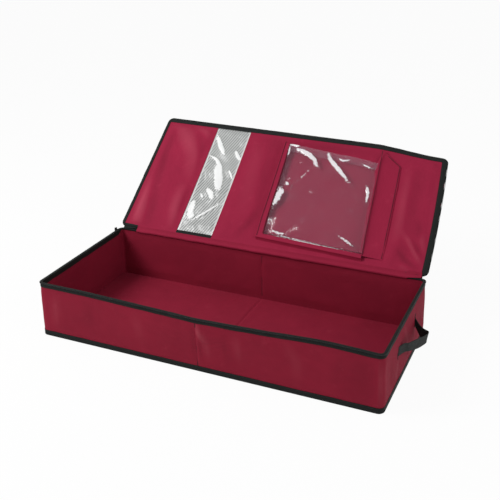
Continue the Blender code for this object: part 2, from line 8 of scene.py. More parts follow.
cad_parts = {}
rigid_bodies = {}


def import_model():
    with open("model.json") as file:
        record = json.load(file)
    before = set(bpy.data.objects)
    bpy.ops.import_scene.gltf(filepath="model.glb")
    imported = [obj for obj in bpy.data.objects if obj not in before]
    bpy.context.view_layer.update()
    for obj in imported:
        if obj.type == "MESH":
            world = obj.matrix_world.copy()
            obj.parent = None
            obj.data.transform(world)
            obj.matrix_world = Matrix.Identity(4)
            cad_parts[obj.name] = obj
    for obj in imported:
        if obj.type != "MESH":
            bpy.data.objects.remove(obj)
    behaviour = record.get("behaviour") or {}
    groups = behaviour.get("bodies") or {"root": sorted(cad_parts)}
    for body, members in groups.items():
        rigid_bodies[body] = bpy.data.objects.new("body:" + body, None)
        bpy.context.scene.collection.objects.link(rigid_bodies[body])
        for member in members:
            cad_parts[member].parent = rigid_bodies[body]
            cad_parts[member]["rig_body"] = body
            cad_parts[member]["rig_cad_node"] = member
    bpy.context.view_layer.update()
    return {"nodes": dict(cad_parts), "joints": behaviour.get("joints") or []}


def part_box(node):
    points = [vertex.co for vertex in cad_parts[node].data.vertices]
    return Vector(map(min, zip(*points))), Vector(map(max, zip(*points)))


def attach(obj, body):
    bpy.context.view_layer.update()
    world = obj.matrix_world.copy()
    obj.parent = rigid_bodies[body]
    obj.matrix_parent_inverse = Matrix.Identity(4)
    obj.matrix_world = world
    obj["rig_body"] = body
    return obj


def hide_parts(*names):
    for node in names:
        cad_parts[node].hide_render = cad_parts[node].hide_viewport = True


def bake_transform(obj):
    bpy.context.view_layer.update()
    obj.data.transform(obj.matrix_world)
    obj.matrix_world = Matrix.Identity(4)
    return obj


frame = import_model()

# Camera. It stands right of the front and looks down into the open tray. The lens is shifted
# down, because the horizon lies high in the picture.
bpy.ops.object.select_all(action="DESELECT")
bpy.ops.object.camera_add()
camera = bpy.context.object
camera.data.lens = 59.99
camera.data.sensor_width = 36
camera.data.shift_x = -0.0241
camera.data.shift_y = -0.22
camera_axes = Matrix(
    ((0.916, -0.106, 0.3868), (0.4009, 0.2738, -0.8743), (-0.0132, 0.9559, 0.2933))
)
camera.matrix_world = Matrix.Translation((0.8252, -1.6682, 1.0749)) @ camera_axes.to_4x4()
bpy.context.scene.camera = camera
bpy.context.scene.view_settings.view_transform = "Standard"

# Studio light. A large soft lamp high on the left front, a small one that glints in the vinyl,
# a weaker one on the right, and a bright even room, so that colours show about as they are.
LIT_PLACE = Vector((0, 0.1, 0.1))
for name, place, width, power in (
    ("key_light", (-1.65, -1.20, 1.85), 1.0, 39),
    ("glint_light", (-1.25, -0.35, 2.2), 0.35, 7),
    ("fill_light", (2.5, -0.35, 1.7), 1.6, 15),
):
    bpy.ops.object.light_add(type="AREA", location=place)
    lamp = bpy.context.object
    lamp.name = name
    lamp.data.shape = "DISK"
    lamp.data.size = width
    lamp.data.energy = power
    lamp.rotation_euler = (LIT_PLACE - Vector(place)).to_track_quat("-Z", "Y").to_euler()


# Floor. A plain white sweep that shows white to the camera and in gloss, and keeps a soft
# shadow under the box.
class Wire:
    """One output of a shader node, so that shader sums read as plain sums."""

    def __init__(self, tree, socket):
        self.tree = tree
        self.socket = socket

    def node(self, kind, feeds, output=0, settings=None):
        """Any other node: its settings, then what feeds its sockets."""
        made = self.tree.nodes.new(kind)
        for name, value in (settings or {}).items():
            setattr(made, name, value)
        for name, value in feeds.items():
            if isinstance(value, Wire):
                self.tree.links.new(value.socket, made.inputs[name])
            else:
                made.inputs[name].default_value = value
        return Wire(self.tree, made.outputs[output])

    def maths(self, operation, first, second=0.0, clamp=False):
        settings = {"operation": operation, "use_clamp": clamp}
        return self.node("ShaderNodeMath", {0: first, 1: second}, settings=settings)

    def __add__(self, other):
        return self.maths("ADD", self, other)

    __radd__ = __add__

    def __sub__(self, other):
        return self.maths("SUBTRACT", self, other)

    def __rsub__(self, other):
        return self.maths("SUBTRACT", other, self)

    def __mul__(self, other):
        return self.maths("MULTIPLY", self, other)

    __rmul__ = __mul__

    def __truediv__(self, other):
        return self.maths("DIVIDE", self, other)

    def __rtruediv__(self, other):
        return self.maths("DIVIDE", other, self)

    def sine(self):
        return self.maths("SINE", self)

    def size(self):
        return self.maths("ABSOLUTE", self)

    def held(self):
        """The same, but never under 0 or over 1."""
        return self.maths("ADD", self, 0.0, clamp=True)

    def step(self, start, end):
        """0 before start, 1 after end, and smooth between."""
        settings = {"interpolation_type": "SMOOTHSTEP"}
        return self.node("ShaderNodeMapRange", {0: self, 1: start, 2: end}, settings=settings)

    def blend(self, first, second):
        """A colour between two, by this share."""
        feeds = {0: self}
        for socket, colour in ((6, first), (7, second)):
            feeds[socket] = colour if isinstance(colour, Wire) else (*colour, 1)
        return self.node("ShaderNodeMix", feeds, 2, {"data_type": "RGBA"})

    def cloud(self, scale, detail=2.0, rough=0.5):
        """Soft noise on this place, about 0 to 1."""
        feeds = {"Vector": self, "Scale": scale, "Detail": detail, "Roughness": rough}
        return self.node("ShaderNodeTexNoise", feeds)

    def bump(self, strength, distance):
        """The relief that this height gives."""
        feeds = {"Strength": strength, "Distance": distance, "Height": self}
        return self.node("ShaderNodeBump", feeds)

    def painted_light(self):
        """The number that the piece keeps for each vertex: its painted light, pale above 0, dark
        below.
        """
        return self.node("ShaderNodeAttribute", {}, 2, {"attribute_name": "painted_light"})

    def along(self):
        """The three coordinates of this place."""
        made = self.tree.nodes.new("ShaderNodeSeparateXYZ")
        self.tree.links.new(self.socket, made.inputs[0])
        return [Wire(self.tree, output) for output in made.outputs]


HINGE = Vector(frame["joints"][0]["pos_m"])
LID_TURN = math.radians(frame["joints"][0]["range_deg"][0])


def new_finish(name, turned=False, **constants):
    """A material: its shader, and the place on the piece, in the lid's own axes where turned."""
    material = bpy.data.materials.new(name)
    material.use_nodes = True
    tree = material.node_tree
    shader = tree.nodes["Principled BSDF"]
    for socket, value in constants.items():
        shader.inputs[socket.replace("_", " ")].default_value = value
    place = Wire(tree, tree.nodes.new("ShaderNodeTexCoord").outputs["Object"])
    if turned:
        feeds = {"Vector": place, "Location": HINGE, "Rotation": (LID_TURN, 0, 0)}
        place = place.node("ShaderNodeMapping", feeds, settings={"vector_type": "TEXTURE"})
    return material, shader, place


def wire_up(shader, **wires):
    """Lead wires into the shader's sockets."""
    for socket, wire in wires.items():
        wire.tree.links.new(wire.socket, shader.inputs[socket.replace("_", " ")])


def seen(tree):
    """1 where the camera looks, straight or by gloss or glass, and 0 for light on the object."""
    rays = tree.nodes.new("ShaderNodeLightPath").outputs
    kinds = ("Is Camera Ray", "Is Glossy Ray", "Is Transmission Ray")
    straight, gloss, glass = (Wire(tree, rays[kind]) for kind in kinds)
    return (straight + gloss + glass).held()


bpy.ops.mesh.primitive_plane_add(size=60)
floor = bpy.context.object
floor.name = "floor"
floor_finish, shader, _ = new_finish(
    "floor", Roughness=0.9, Base_Color=(0.88, 0.88, 0.88, 1), Specular_IOR_Level=0.0
)
floor_tree = floor_finish.node_tree
floor_seen = seen(floor_tree)
floor_glow = floor_seen.node("ShaderNodeEmission", {"Color": (1, 1, 1, 1), "Strength": 1.0})
floor_own = Wire(floor_tree, shader.outputs[0])
floor_whole = floor_seen.node(
    "ShaderNodeMixShader", {0: floor_seen * 0.95, 1: floor_own, 2: floor_glow}
)
floor_tree.links.new(floor_whole.socket, floor_tree.nodes["Material Output"].inputs["Surface"])
floor.data.materials.append(floor_finish)

world = bpy.data.worlds.new("room")
bpy.context.scene.world = world
world.use_nodes = True
sky = world.node_tree.nodes["Background"]
sky.inputs["Color"].default_value = (1, 1, 1, 1)
sky_strength = seen(world.node_tree) * 0.65 + 0.35
world.node_tree.links.new(sky_strength.socket, sky.inputs["Strength"])

# Outer fabric of the tray. One burgundy non-woven band goes round all four walls over the
# boards, with a sewn seam in the middle of the front and rear and a slit for each strap end.
WALL_X, WALL_Y = 0.44, 0.1875
CORNER = 0.014
CLOTH = 0.0006


def called(name):
    """The piece just added, under its name."""
    piece = bpy.context.object
    piece.name = piece.data.name = name
    return piece


def block(name, centre, size):
    """A block at its size and place, alone in the selection and open for editing."""
    bpy.ops.object.select_all(action="DESELECT")
    bpy.ops.mesh.primitive_cube_add(size=1, location=centre, scale=size)
    bpy.ops.object.transform_apply(location=True, rotation=True, scale=True)
    piece = called(name)
    bpy.ops.object.mode_set(mode="EDIT")
    return piece


def begin(name, low, high):
    """A block between two corners."""
    low, high = Vector(low), Vector(high)
    return block(name, (low + high) / 2, high - low)


def close(piece):
    """Leave edit mode."""
    if piece.mode == "EDIT":
        bpy.ops.object.mode_set(mode="OBJECT")


def select(kind, test):
    """Select only the vertices, edges or faces that pass a test."""
    bpy.ops.mesh.select_mode(type=kind)
    bpy.ops.mesh.select_all(action="DESELECT")
    mesh = bmesh.from_edit_mesh(bpy.context.object.data)
    for part in {"VERT": mesh.verts, "EDGE": mesh.edges, "FACE": mesh.faces}[kind]:
        if test(part):
            part.select_set(True)
    bmesh.update_edit_mesh(bpy.context.object.data)


def middle(part):
    """The middle of an edge or face."""
    return sum((corner.co for corner in part.verts), Vector()) / len(part.verts)


def upright(edge):
    a, b = (corner.co for corner in edge.verts)
    return abs((a - b).normalized().z) > 0.9


def round_off(test, radius, segments=8):
    """Round the edges that pass a test."""
    select("EDGE", test)
    bpy.ops.mesh.bevel(offset=radius, segments=segments, affect="EDGES")


def remove(test):
    """Take off the faces that pass a test."""
    select("FACE", test)
    bpy.ops.mesh.delete(type="FACE")


def rounded(name, low, high, radius, unwanted, segments=8):
    """A block with round corners, without its unwanted faces."""
    piece = begin(name, low, high)
    round_off(upright, radius, segments)
    remove(unwanted)
    return piece


def slice_up(*cuts):
    """Cut the whole piece by planes at places along x, then y, then z."""
    for axis, places in zip(Matrix.Identity(3), cuts):
        for place in places:
            bpy.ops.mesh.select_all(action="SELECT")
            bpy.ops.mesh.bisect(plane_co=axis * place, plane_no=axis)


def spread(low, high, step):
    """Even places between two ends."""
    count = max(1, round((high - low) / step))
    return [low + (high - low) * number / count for number in range(1, count)]


def straight(length, step):
    """Even places along a wall, clear of its round corners."""
    return spread(CORNER - length, length - CORNER, step)


def shape(piece, move):
    """Move each vertex of a piece, from its place and its normal."""
    close(piece)
    moved = [move(corner.co.copy(), corner.normal.copy()) for corner in piece.data.vertices]
    for corner, place in zip(piece.data.vertices, moved):
        corner.co = place


def alone(piece):
    """Make a piece the only one selected."""
    bpy.ops.object.select_all(action="DESELECT")
    piece.select_set(True)
    bpy.context.view_layer.objects.active = piece


def apply_all(piece):
    alone(piece)
    for modifier in list(piece.modifiers):
        bpy.ops.object.modifier_apply(modifier=modifier.name)


def thicken(piece, thickness=CLOTH, offset=-1.0):
    """Give an open skin its thickness."""
    wall = piece.modifiers.new("wall", "SOLIDIFY")
    wall.thickness = thickness
    wall.offset = offset
    wall.use_even_offset = True
    apply_all(piece)


def dress(piece, finish, slot, body=None, *nodes, angle=40):
    """Shade a piece smooth, give it its finish, fix it to the body it rides on and hide the nodes
    it stands for.
    """
    alone(piece)
    bpy.ops.object.shade_smooth_by_angle(angle=math.radians(angle))
    piece.data.materials.clear()
    piece.data.materials.append(finish)
    if body:
        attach(piece, body)
    if nodes:
        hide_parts(*nodes)


def ease(low, high, value):
    """0 before low, 1 after high, and smooth between."""
    t = min(max((value - low) / (high - low), 0), 1)
    return t * t * (3 - 2 * t)


def bell(value, width):
    """1 at nothing, and soon 0 on both sides."""
    return math.exp(-((value / width) ** 2))


def crumple(place, size, depth, seed=0.0):
    """Soft wrinkles of one size, up and down."""
    return depth * noise.noise(place / size + Vector((seed, -seed, 2 * seed)))


def puffs(place, *sizes):
    """Soft wrinkles of several sizes, all to one side."""
    return sum(abs(crumple(place, *size)) for size in sizes)


def settled(place):
    """Where a point of the tray lies: the front's middle leans out and sinks at the top."""
    lift = ease(0.0, 1.0, place.z / TALL) ** 1.5
    front = ease(0.11, 0.17, -place.y) * lift
    rear = ease(0.11, 0.17, place.y) * lift
    centre = max(0.0, 1 - abs(place.x) / 0.34) ** 1.3
    right = ease(0.16, 0.0, abs(place.x - 0.30))
    out = front * (-0.007 * centre + 0.003 * right) + rear * 0.002 * centre
    up = front * (-0.0045 * centre + 0.002 * right) - rear * 0.002 * centre
    return place + Vector((0, out, up))


def near(place, line):
    """How far a point lies from a line of points on a flat piece, and how far along it is."""
    best, along = 1.0, 0.0
    spot = Vector((place.x, -place.y))
    for number, (first, second) in enumerate(zip(line, line[1:])):
        first, reach = Vector(first), Vector(second) - Vector(first)
        share = min(max((spot - first).dot(reach) / reach.length_squared, 0), 1)
        away = (spot - first - reach * share).length
        if away < best:
            best, along = away, (number + share) / (len(line) - 1)
    return best, along


def tone(place, lines):
    """The sum of soft lines at a point: each has its width and its strength, pale or dark."""
    total = 0.0
    for line, width, strength in lines:
        away, along = near(place, line)
        total += strength * ease(width, 0.0, away) * (0.3 + 0.7 * math.sin(math.pi * along))
    return max(-1.0, min(1.0, total))


def mark(piece, tell):
    """Keep one number for each vertex, for the piece's finish to read as painted light."""
    close(piece)
    marks = piece.data.attributes.new("painted_light", "FLOAT", "POINT")
    for value, corner in zip(marks.data, piece.data.vertices):
        value.value = tell(corner.co)


def threads(place, fineness):
    """The fine relief of threads that cross, from -1 to 1."""
    x, y, z = ((way * fineness).sine() for way in place.along())
    return (x + y + z) / 3


def burgundy(name, light, deep, turned=False, painted_fold_light=False):
    """Non-woven cloth: a mottled pressed web with a fine weld grid, and painted fold highlight and
    shade.
    """
    finish, shader, place = new_finish(
        name, turned, Roughness=0.7, Sheen_Weight=0.03, Specular_IOR_Level=0.14
    )
    shader.inputs["Sheen Tint"].default_value = (1.0, 0.5, 0.6, 1)
    weave = threads(place, 5700)
    mottle = place.cloud(9, 3, 0.55)
    fibres = place.cloud(420, 3, 0.7)
    dust = place.cloud(38, 4, 0.6).step(0.58, 0.75)
    base = (mottle * 0.9 + fibres * 0.5 + weave * 0.12 - 0.2).held().blend(deep, light)
    if painted_fold_light:
        # Painted shade darkens the cloth where the fold number is below 0, and a painted highlight
        # pales it where the number is above 0.
        painted_light = place.painted_light()
        base = (painted_light * -0.55).held().blend(base, [c * 0.55 for c in deep])
        painted_highlight = (painted_light * (0.36 + fibres * 0.3)).held()
        base = painted_highlight.blend(base, [c * 1.25 + 0.06 for c in light])
    height = weave * 0.35 + fibres * 0.5 + place.cloud(30, 3) * 2.2
    wire_up(
        shader,
        Base_Color=(dust * 0.10).blend(base, [c * 1.45 + 0.035 for c in light]),
        Roughness=0.70 + fibres * 0.2,
        Normal=height.bump(0.45, 0.0006),
    )
    return finish


OUTER_COLOURS = (0.290, 0.0120, 0.0350), (0.205, 0.0075, 0.0240)
# The outer cloth gets painted highlight and painted shade along the walls' folds.
outer_cloth = burgundy("outer_cloth", *OUTER_COLOURS, painted_fold_light=True)
low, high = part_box("tray_outer_fabric")
TALL = high.z
SLIT_Y, SLIT_Z = 0.078, 0.086
SLIT_WIDE, SLIT_TALL = 0.0012, 0.016
seam_cuts = [s * d for s in (-1, 1) for d in (0.001, 0.0025, 0.005, 0.009)] + [0]
slit_cuts = [s * SLIT_Y + d for s in (-1, 1) for d in (-SLIT_WIDE, SLIT_WIDE)]


def flat_face(face):
    return abs(face.normal.z) > 0.9


outer_fabric = rounded("outer_fabric", low, high, CORNER, flat_face)
slice_up(
    straight(WALL_X, 0.011) + seam_cuts,
    straight(WALL_Y, 0.012) + slit_cuts,
    spread(low.z, high.z, 0.009) + [SLIT_Z - SLIT_TALL, SLIT_Z + SLIT_TALL],
)


def in_slit(face):
    x, y, z = middle(face)
    return abs(x) > 0.435 and abs(abs(y) - SLIT_Y) < SLIT_WIDE and abs(z - SLIT_Z) < SLIT_TALL


remove(in_slit)

# Each fold is a line of points on its wall, across and up, then its width and strength. The folds
# lift and sink the cloth, and their strengths are also painted on it: painted highlight along the
# pale folds and painted shade along the dark ones.
FRONT_FOLDS_AND_LIGHT = (
    (((0.003, 0.128), (0.0085, 0.106), (0.016, 0.088)), 0.010, 0.85),
    (((0.016, 0.108), (0.024, 0.075), (0.026, 0.045)), 0.016, 0.36),
    (((0.0085, 0.085), (0.010, 0.035)), 0.008, -0.40),
    (((-0.006, 0.128), (-0.0075, 0.060), (-0.005, 0.018)), 0.008, -0.45),
    (((0.070, 0.105), (0.080, 0.045)), 0.016, -0.30),
    (((0.100, 0.115), (0.106, 0.055)), 0.016, 0.30),
    (((0.220, 0.120), (0.245, 0.080), (0.245, 0.035)), 0.022, 0.24),
    (((0.340, 0.120), (0.330, 0.040)), 0.024, -0.30),
    (((0.385, 0.130), (0.385, 0.015)), 0.060, -0.45),
    (((0.432, 0.128), (0.433, 0.018)), 0.010, 0.55),
    (((-0.160, 0.115), (-0.150, 0.045)), 0.022, 0.20),
    (((-0.300, 0.118), (-0.290, 0.045)), 0.024, -0.30),
    (((-0.390, 0.112), (-0.395, 0.040)), 0.018, 0.35),
)
END_FOLDS_AND_LIGHT = (
    (((-0.078, 0.066), (-0.090, 0.026)), 0.011, 0.70),
    (((-0.135, 0.118), (-0.125, 0.045)), 0.016, -0.40),
    (((-0.025, 0.124), (0.005, 0.078), (-0.012, 0.035)), 0.013, 0.70),
    (((0.035, 0.060), (0.018, 0.020)), 0.011, 0.50),
    (((0.078, 0.066), (0.060, 0.024)), 0.011, 0.60),
    (((0.120, 0.124), (0.132, 0.045)), 0.018, -0.40),
    (((-0.177, 0.128), (-0.178, 0.020)), 0.010, 0.50),
)


def wall_folds_and_light(place):
    """The wall's folds: pale ones painted as highlight, dark ones painted as shade."""
    if abs(place.y) > 0.18:
        return tone(Vector((place.x if place.y < 0 else -place.x, -place.z)), FRONT_FOLDS_AND_LIGHT)
    if abs(place.x) > 0.43:
        return tone(Vector((place.y if place.x > 0 else -place.y, -place.z)), END_FOLDS_AND_LIGHT)
    return 0.0


def wall_ripple(place, normal):
    """Cloth drawn over the boards: it sinks into the seam and eases between its edges."""
    edge = ease(0.012, 0.03, place.z) * ease(TALL - 0.010, TALL - 0.03, place.z)
    seam = 0.0
    if abs(normal.y) > 0.9:
        seam = 0.0012 * edge * bell(place.x - 0.009, 0.005) - 0.0008 * bell(place.x, 0.0013)
    drawn = 0.0004 + puffs(place, (0.075, 0.0022, 3.1), (0.028, 0.0006, 7.7))
    drawn = max(0.00015, drawn + 0.0013 * wall_folds_and_light(place))
    return settled(place + normal * (seam + edge * drawn))


mark(outer_fabric, wall_folds_and_light)
shape(outer_fabric, wall_ripple)
thicken(outer_fabric)
dress(outer_fabric, outer_cloth, "outer_fabric", "tray", "tray_outer_fabric")

# Wall boards. Grey board panels stand between the two fabrics: two along the front, two along
# the rear, and one bent round the corners at each end.
board_finish, shader, place = new_finish("grey_board", Roughness=0.9)
fibre = place.cloud(260, 5, 0.65)
fleck = place.cloud(900, 2).step(0.62, 0.7) * 0.5
wire_up(
    shader,
    Base_Color=fleck.blend(
        fibre.blend((0.26, 0.21, 0.165), (0.44, 0.375, 0.30)), (0.12, 0.10, 0.09)
    ),
    Roughness=0.8 + fibre * 0.15,
    Normal=fibre.bump(0.4, 0.0003),
)


def copy_node(node, name):
    """A merged copy of a CAD node's mesh, open for editing."""
    piece = frame["nodes"][node].copy()
    piece.data = piece.data.copy()
    piece.parent = None
    bpy.context.collection.objects.link(piece)
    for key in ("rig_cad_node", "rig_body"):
        del piece[key]
    piece.name = piece.data.name = name
    alone(piece)
    bpy.ops.object.mode_set(mode="EDIT")
    bpy.ops.mesh.select_all(action="SELECT")
    bpy.ops.mesh.remove_doubles(threshold=0.00001)
    bpy.ops.mesh.tris_convert_to_quads(face_threshold=0.1, shape_threshold=0.6)
    return piece


for wall in ("front", "rear", "end"):
    for side in ("left", "right"):
        node = f"{wall}_board_{side}"
        board = copy_node(node, f"{wall}_wall_board_{side}")
        slice_up(
            spread(-0.425, 0.425, 0.022), straight(WALL_Y, 0.0145), spread(0.002, TALL, 0.0145)
        )
        shape(board, lambda place, normal: settled(place))
        dress(board, board_finish, "stiffening_board", "tray", node)

# Lining of the walls. A brighter burgundy band hangs inside the boards, sewn along the rim
# and the floor, and slack between.
inner_cloth = burgundy("inner_cloth", (0.280, 0.0115, 0.0350), (0.200, 0.0075, 0.0250))
low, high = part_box("tray_lining")
inset = Vector((CLOTH, CLOTH, 0))
wall_lining = rounded("wall_lining", low + inset, high - inset, 0.0097, flat_face)
slice_up(
    straight(WALL_X, 0.011) + seam_cuts, straight(WALL_Y, 0.012), spread(low.z, high.z, 0.008)
)


def slack(place, normal):
    """The lining bellies away from the boards, and is drawn in at the seam and the corners."""
    edge = ease(0.004, 0.03, place.z) * ease(TALL, TALL - 0.03, place.z)
    seam = 0.8 * bell(place.x, 0.005) if abs(normal.y) > 0.9 else 0.0
    corner = 1 - ease(0.02, 0.0, (0.4357 - abs(place.x)) + (0.183 - abs(place.y)))
    ripple = puffs(place, (0.06, 0.0016, 5.3), (0.022, 0.0005, 1.7))
    return settled(place - normal * edge * (0.0016 * corner * (1 - seam) + ripple))


shape(wall_lining, slack)
thicken(wall_lining, offset=1.0)
dress(wall_lining, inner_cloth, "lining_fabric", "tray", "tray_lining")


# Floor of the tray. Two base boards lie between the bottom fabric and a lining that is sewn
# to the walls all round, with a crease where the boards meet.
def softened(node, name, width, segments=2):
    """A copy of a CAD node with its sharp edges rounded a little."""
    piece = copy_node(node, name)
    close(piece)
    edge = piece.modifiers.new("edge", "BEVEL")
    edge.width = width
    edge.segments = segments
    edge.limit_method = "ANGLE"
    edge.angle_limit = math.radians(35)
    apply_all(piece)
    return piece


FLOOR_BOARDS = ("floor_board_left", "floor_board_right")
for name in FLOOR_BOARDS:
    node = name.replace("floor", "base")
    board = softened(node, name, 0.0006)
    dress(board, board_finish, "stiffening_board", "tray", node)

low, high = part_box("bottom_lining")
floor_lining = rounded("floor_lining", low, high, 0.0085, lambda face: face.normal.z < 0.9, 6)
slice_up(spread(low.x, high.x, 0.011) + seam_cuts, spread(low.y, high.y, 0.011))


def well_inside(place):
    """0 at the floor's edge, and 1 well inside it."""
    return ease(0, 0.03, high.x - abs(place.x)) * ease(0, 0.03, high.y - abs(place.y))


def floor_ripple(place, normal):
    """The floor lining lies flat, lifts a little in low wrinkles, and sinks in its crease."""
    lift = puffs(place, (0.09, 0.0035, 2.2), (0.03, 0.0012, 6.1)) * (1 - bell(place.x, 0.003))
    beside = 0.0012 * bell(abs(place.x) - 0.007, 0.004)
    return place + Vector((0, 0, well_inside(place) * (lift + beside)))


shape(floor_lining, floor_ripple)
thicken(floor_lining)
dress(floor_lining, inner_cloth, "lining_fabric", "tray", "bottom_lining")

low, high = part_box("bottom_fabric")
under_fabric = rounded(
    "under_fabric", (low.x, low.y, 0.0003), (high.x, high.y, 0.0009), CORNER,
    lambda face: face.normal.z > -0.9,
)
slice_up(spread(low.x, high.x, 0.018) + seam_cuts, spread(low.y, high.y, 0.018))


def under_ripple(place, normal):
    lift = 0.0002 + puffs(place, (0.05, 0.0004, 4.4))
    return place + Vector((0, 0, well_inside(place) * lift))


shape(under_fabric, under_ripple)
thicken(under_fabric, 0.0005)
dress(under_fabric, outer_cloth, "outer_fabric", "tray", "bottom_fabric")


# Bottom binding. A black woven tape is folded over the seam between the walls and the bottom
# and sewn down with one row of stitches.
def tape(name, turned=False):
    """Black woven tape: fine ribs, a dull nap and a little grey wear on the high threads."""
    finish, shader, place = new_finish(name, turned, Roughness=0.7, Specular_IOR_Level=0.16)
    ribs = threads(place, 4200)
    nap = place.cloud(300, 3, 0.7)
    share = (nap * 0.6 + ribs * 0.25 + place.cloud(14, 3) * 0.3 - 0.1).held()
    wire_up(
        shader,
        Base_Color=share.blend((0.0028, 0.0036, 0.0034), (0.0150, 0.0180, 0.0165)),
        Roughness=0.62 + nap * 0.25,
        Normal=(ribs * 0.6 + nap * 0.6).bump(0.5, 0.0004),
    )
    return finish


def grained(name, scale, detail, dark, light, rough, vary, relief, **constants):
    """A finish of one fine grain, which turns it from dark to light and from smooth to rough."""
    finish, shader, place = new_finish(name, **constants)
    grain = place.cloud(scale, detail)
    wire_up(shader, Base_Color=grain.blend(dark, light), Roughness=rough + grain * vary)
    if relief:
        wire_up(shader, Normal=grain.bump(relief, 0.0002))
    return finish


black_tape = tape("black_tape")
thread_finish = grained(
    "sewing_thread", 1500, 2, (0.010, 0.012, 0.0115), (0.045, 0.052, 0.050), 0.5, 0.3, 0.5,
    Roughness=0.6, Specular_IOR_Level=0.25,
)


def corners(out, height, front, rear):
    """Points round the box's four corners from the rear left on, out from its fabric."""
    points = []
    for turn, x, y in ((90, -1, rear), (180, -1, front), (270, 1, front), (0, 1, rear)):
        side = y - CORNER if y == rear else y + CORNER
        centre = Vector((x * (WALL_X - CORNER), side, height))
        for number in range(9):
            angle = math.radians(turn + number * 90 / 8)
            points.append(centre + (CORNER + out) * Vector((math.cos(angle), math.sin(angle), 0)))
    return points


def paced(points, step):
    """The same line with a point about each step."""
    dense = points[:1]
    for first, second in zip(points, points[1:]):
        count = max(1, round((second - first).length / step))
        dense += [first.lerp(second, number / count) for number in range(1, count + 1)]
    return dense


def ring(out, height):
    """Points round the whole tray."""
    points = corners(out, height, -WALL_Y, WALL_Y)
    return paced(points + points[:1], 0.02)[:-1]


def string(name, points, pitch, size, finish, slot, body, *nodes, closed=False):
    """One small rounded block, repeated at an even pitch along a line."""
    line = bpy.data.curves.new(name + "_line", "CURVE")
    line.dimensions = "3D"
    line.twist_mode = "Z_UP"
    spline = line.splines.new("POLY")
    spline.points.add(len(points) - 1)
    for point, place in zip(spline.points, points):
        point.co = (*place, 1)
    spline.use_cyclic_u = closed
    guide = bpy.data.objects.new(name + "_line", line)
    bpy.context.collection.objects.link(guide)
    piece = block(name, (pitch / 2, 0, 0), size)
    bpy.ops.mesh.bevel(offset=min(size) * 0.35, segments=1, affect="EDGES")
    close(piece)
    row = piece.modifiers.new("row", "ARRAY")
    row.use_relative_offset = False
    row.use_constant_offset = True
    row.constant_offset_displace = (pitch, 0, 0)
    row.fit_type = "FIT_CURVE"
    row.curve = guide
    piece.modifiers.new("bend", "CURVE").object = guide
    apply_all(piece)
    bpy.data.objects.remove(guide)
    if body == "lid":
        piece.data.transform(LID)
    dress(piece, finish, slot, body, *nodes, angle=60)


def hollow(test, width):
    """Cut a hole in a face, with an even border left round it."""
    select("FACE", test)
    bpy.ops.mesh.inset(thickness=width, depth=0)
    bpy.ops.mesh.delete(type="FACE")


def inner_level(edge):
    return not edge.is_boundary and not upright(edge)


low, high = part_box("bottom_binding")
bottom_tape = rounded("bottom_tape", low, high, 0.0149, lambda face: face.normal.z > 0.9)
hollow(lambda face: face.normal.z < -0.9, 0.0052)
round_off(lambda edge: inner_level(edge) and max(c.co.z for c in edge.verts) < 0.0001, 0.0012, 3)
slice_up(straight(WALL_X, 0.0055), straight(WALL_Y, 0.0055), (0.004, 0.0075, 0.011))


def pucker(place, normal):
    """Sewn tape draws up a little between its stitches."""
    length = place.x if abs(normal.y) > abs(normal.x) else place.y
    free = ease(0.0105, 0.014, place.z)
    wave = 0.00022 * math.sin(length * 520) + crumple(place, 0.03, 0.0003, 8.8)
    out = ease(0.002, 0.006, place.z) * (0.5 + free) * wave
    return place + normal * out + Vector((0, 0, free * crumple(place, 0.05, 0.0007, 9.1)))


shape(bottom_tape, pucker)
thicken(bottom_tape)
dress(bottom_tape, black_tape, "black_tape", "tray", "bottom_binding")
string(
    "bottom_stitches", ring(0.0010, 0.0115), 0.0040, (0.0029, 0.0005, 0.0005), thread_finish,
    "black_tape", "tray", closed=True,
)

# Rim tape and the lower half of the zipper. The tape folds over the top edge of the front and
# the ends and turns round both rear corners, with nylon teeth on its outer face.
WRAP = 0.387
low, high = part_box("rim_zipper_tape")
rim_tape = rounded(
    "rim_tape", (low.x, low.y, high.z - 0.011), high, 0.0149, lambda face: face.normal.z < -0.9
)
hollow(lambda face: face.normal.z > 0.9, 0.0061)


def top_hole(edge):
    return edge.is_boundary and not upright(edge) and middle(edge).z > high.z - 0.001


def top_fold(edge):
    level = min(corner.co.z for corner in edge.verts) > high.z - 0.0001
    return level and inner_level(edge) and edge.calc_face_angle(0) > 1


select("EDGE", top_hole)
bpy.ops.mesh.extrude_region_move(TRANSFORM_OT_translate={"value": (0, 0, -0.014)})
round_off(top_fold, 0.0014, 3)
slice_up(
    straight(WALL_X, 0.011) + [-WRAP, WRAP],
    straight(WALL_Y, 0.011),
    (high.z - 0.004, high.z - 0.008),
)
remove(lambda face: middle(face).y > 0.15 and abs(middle(face).x) < WRAP)


def rim_ripple(place, normal):
    """The tape's outer edge waves a little, and its inner edge is short at the rear corners."""
    low_edge = ease(high.z - 0.006, high.z - 0.011, place.z)
    if abs(place.x) < 0.4365 and place.y < 0.1845:
        place.z += 0.80 * ease(0.168, 0.178, place.y) * max(0, high.z - 0.0015 - place.z)
    wave = Vector((0, 0, crumple(place, 0.04, 0.0009, 2.9) * low_edge))
    return settled(place) + wave + normal * crumple(place, 0.03, 0.0004, 1.3)


shape(rim_tape, rim_ripple)
thicken(rim_tape)
dress(rim_tape, black_tape, "black_tape", "tray", "rim_zipper_tape")


def rim_line(out, height):
    """The rim's line from one end of the tape at the rear, round the front, to the other."""
    points = ring(out, height)
    return [settled(point) for point in points if point.y <= 0.1 or abs(point.x) >= WRAP - 0.001]


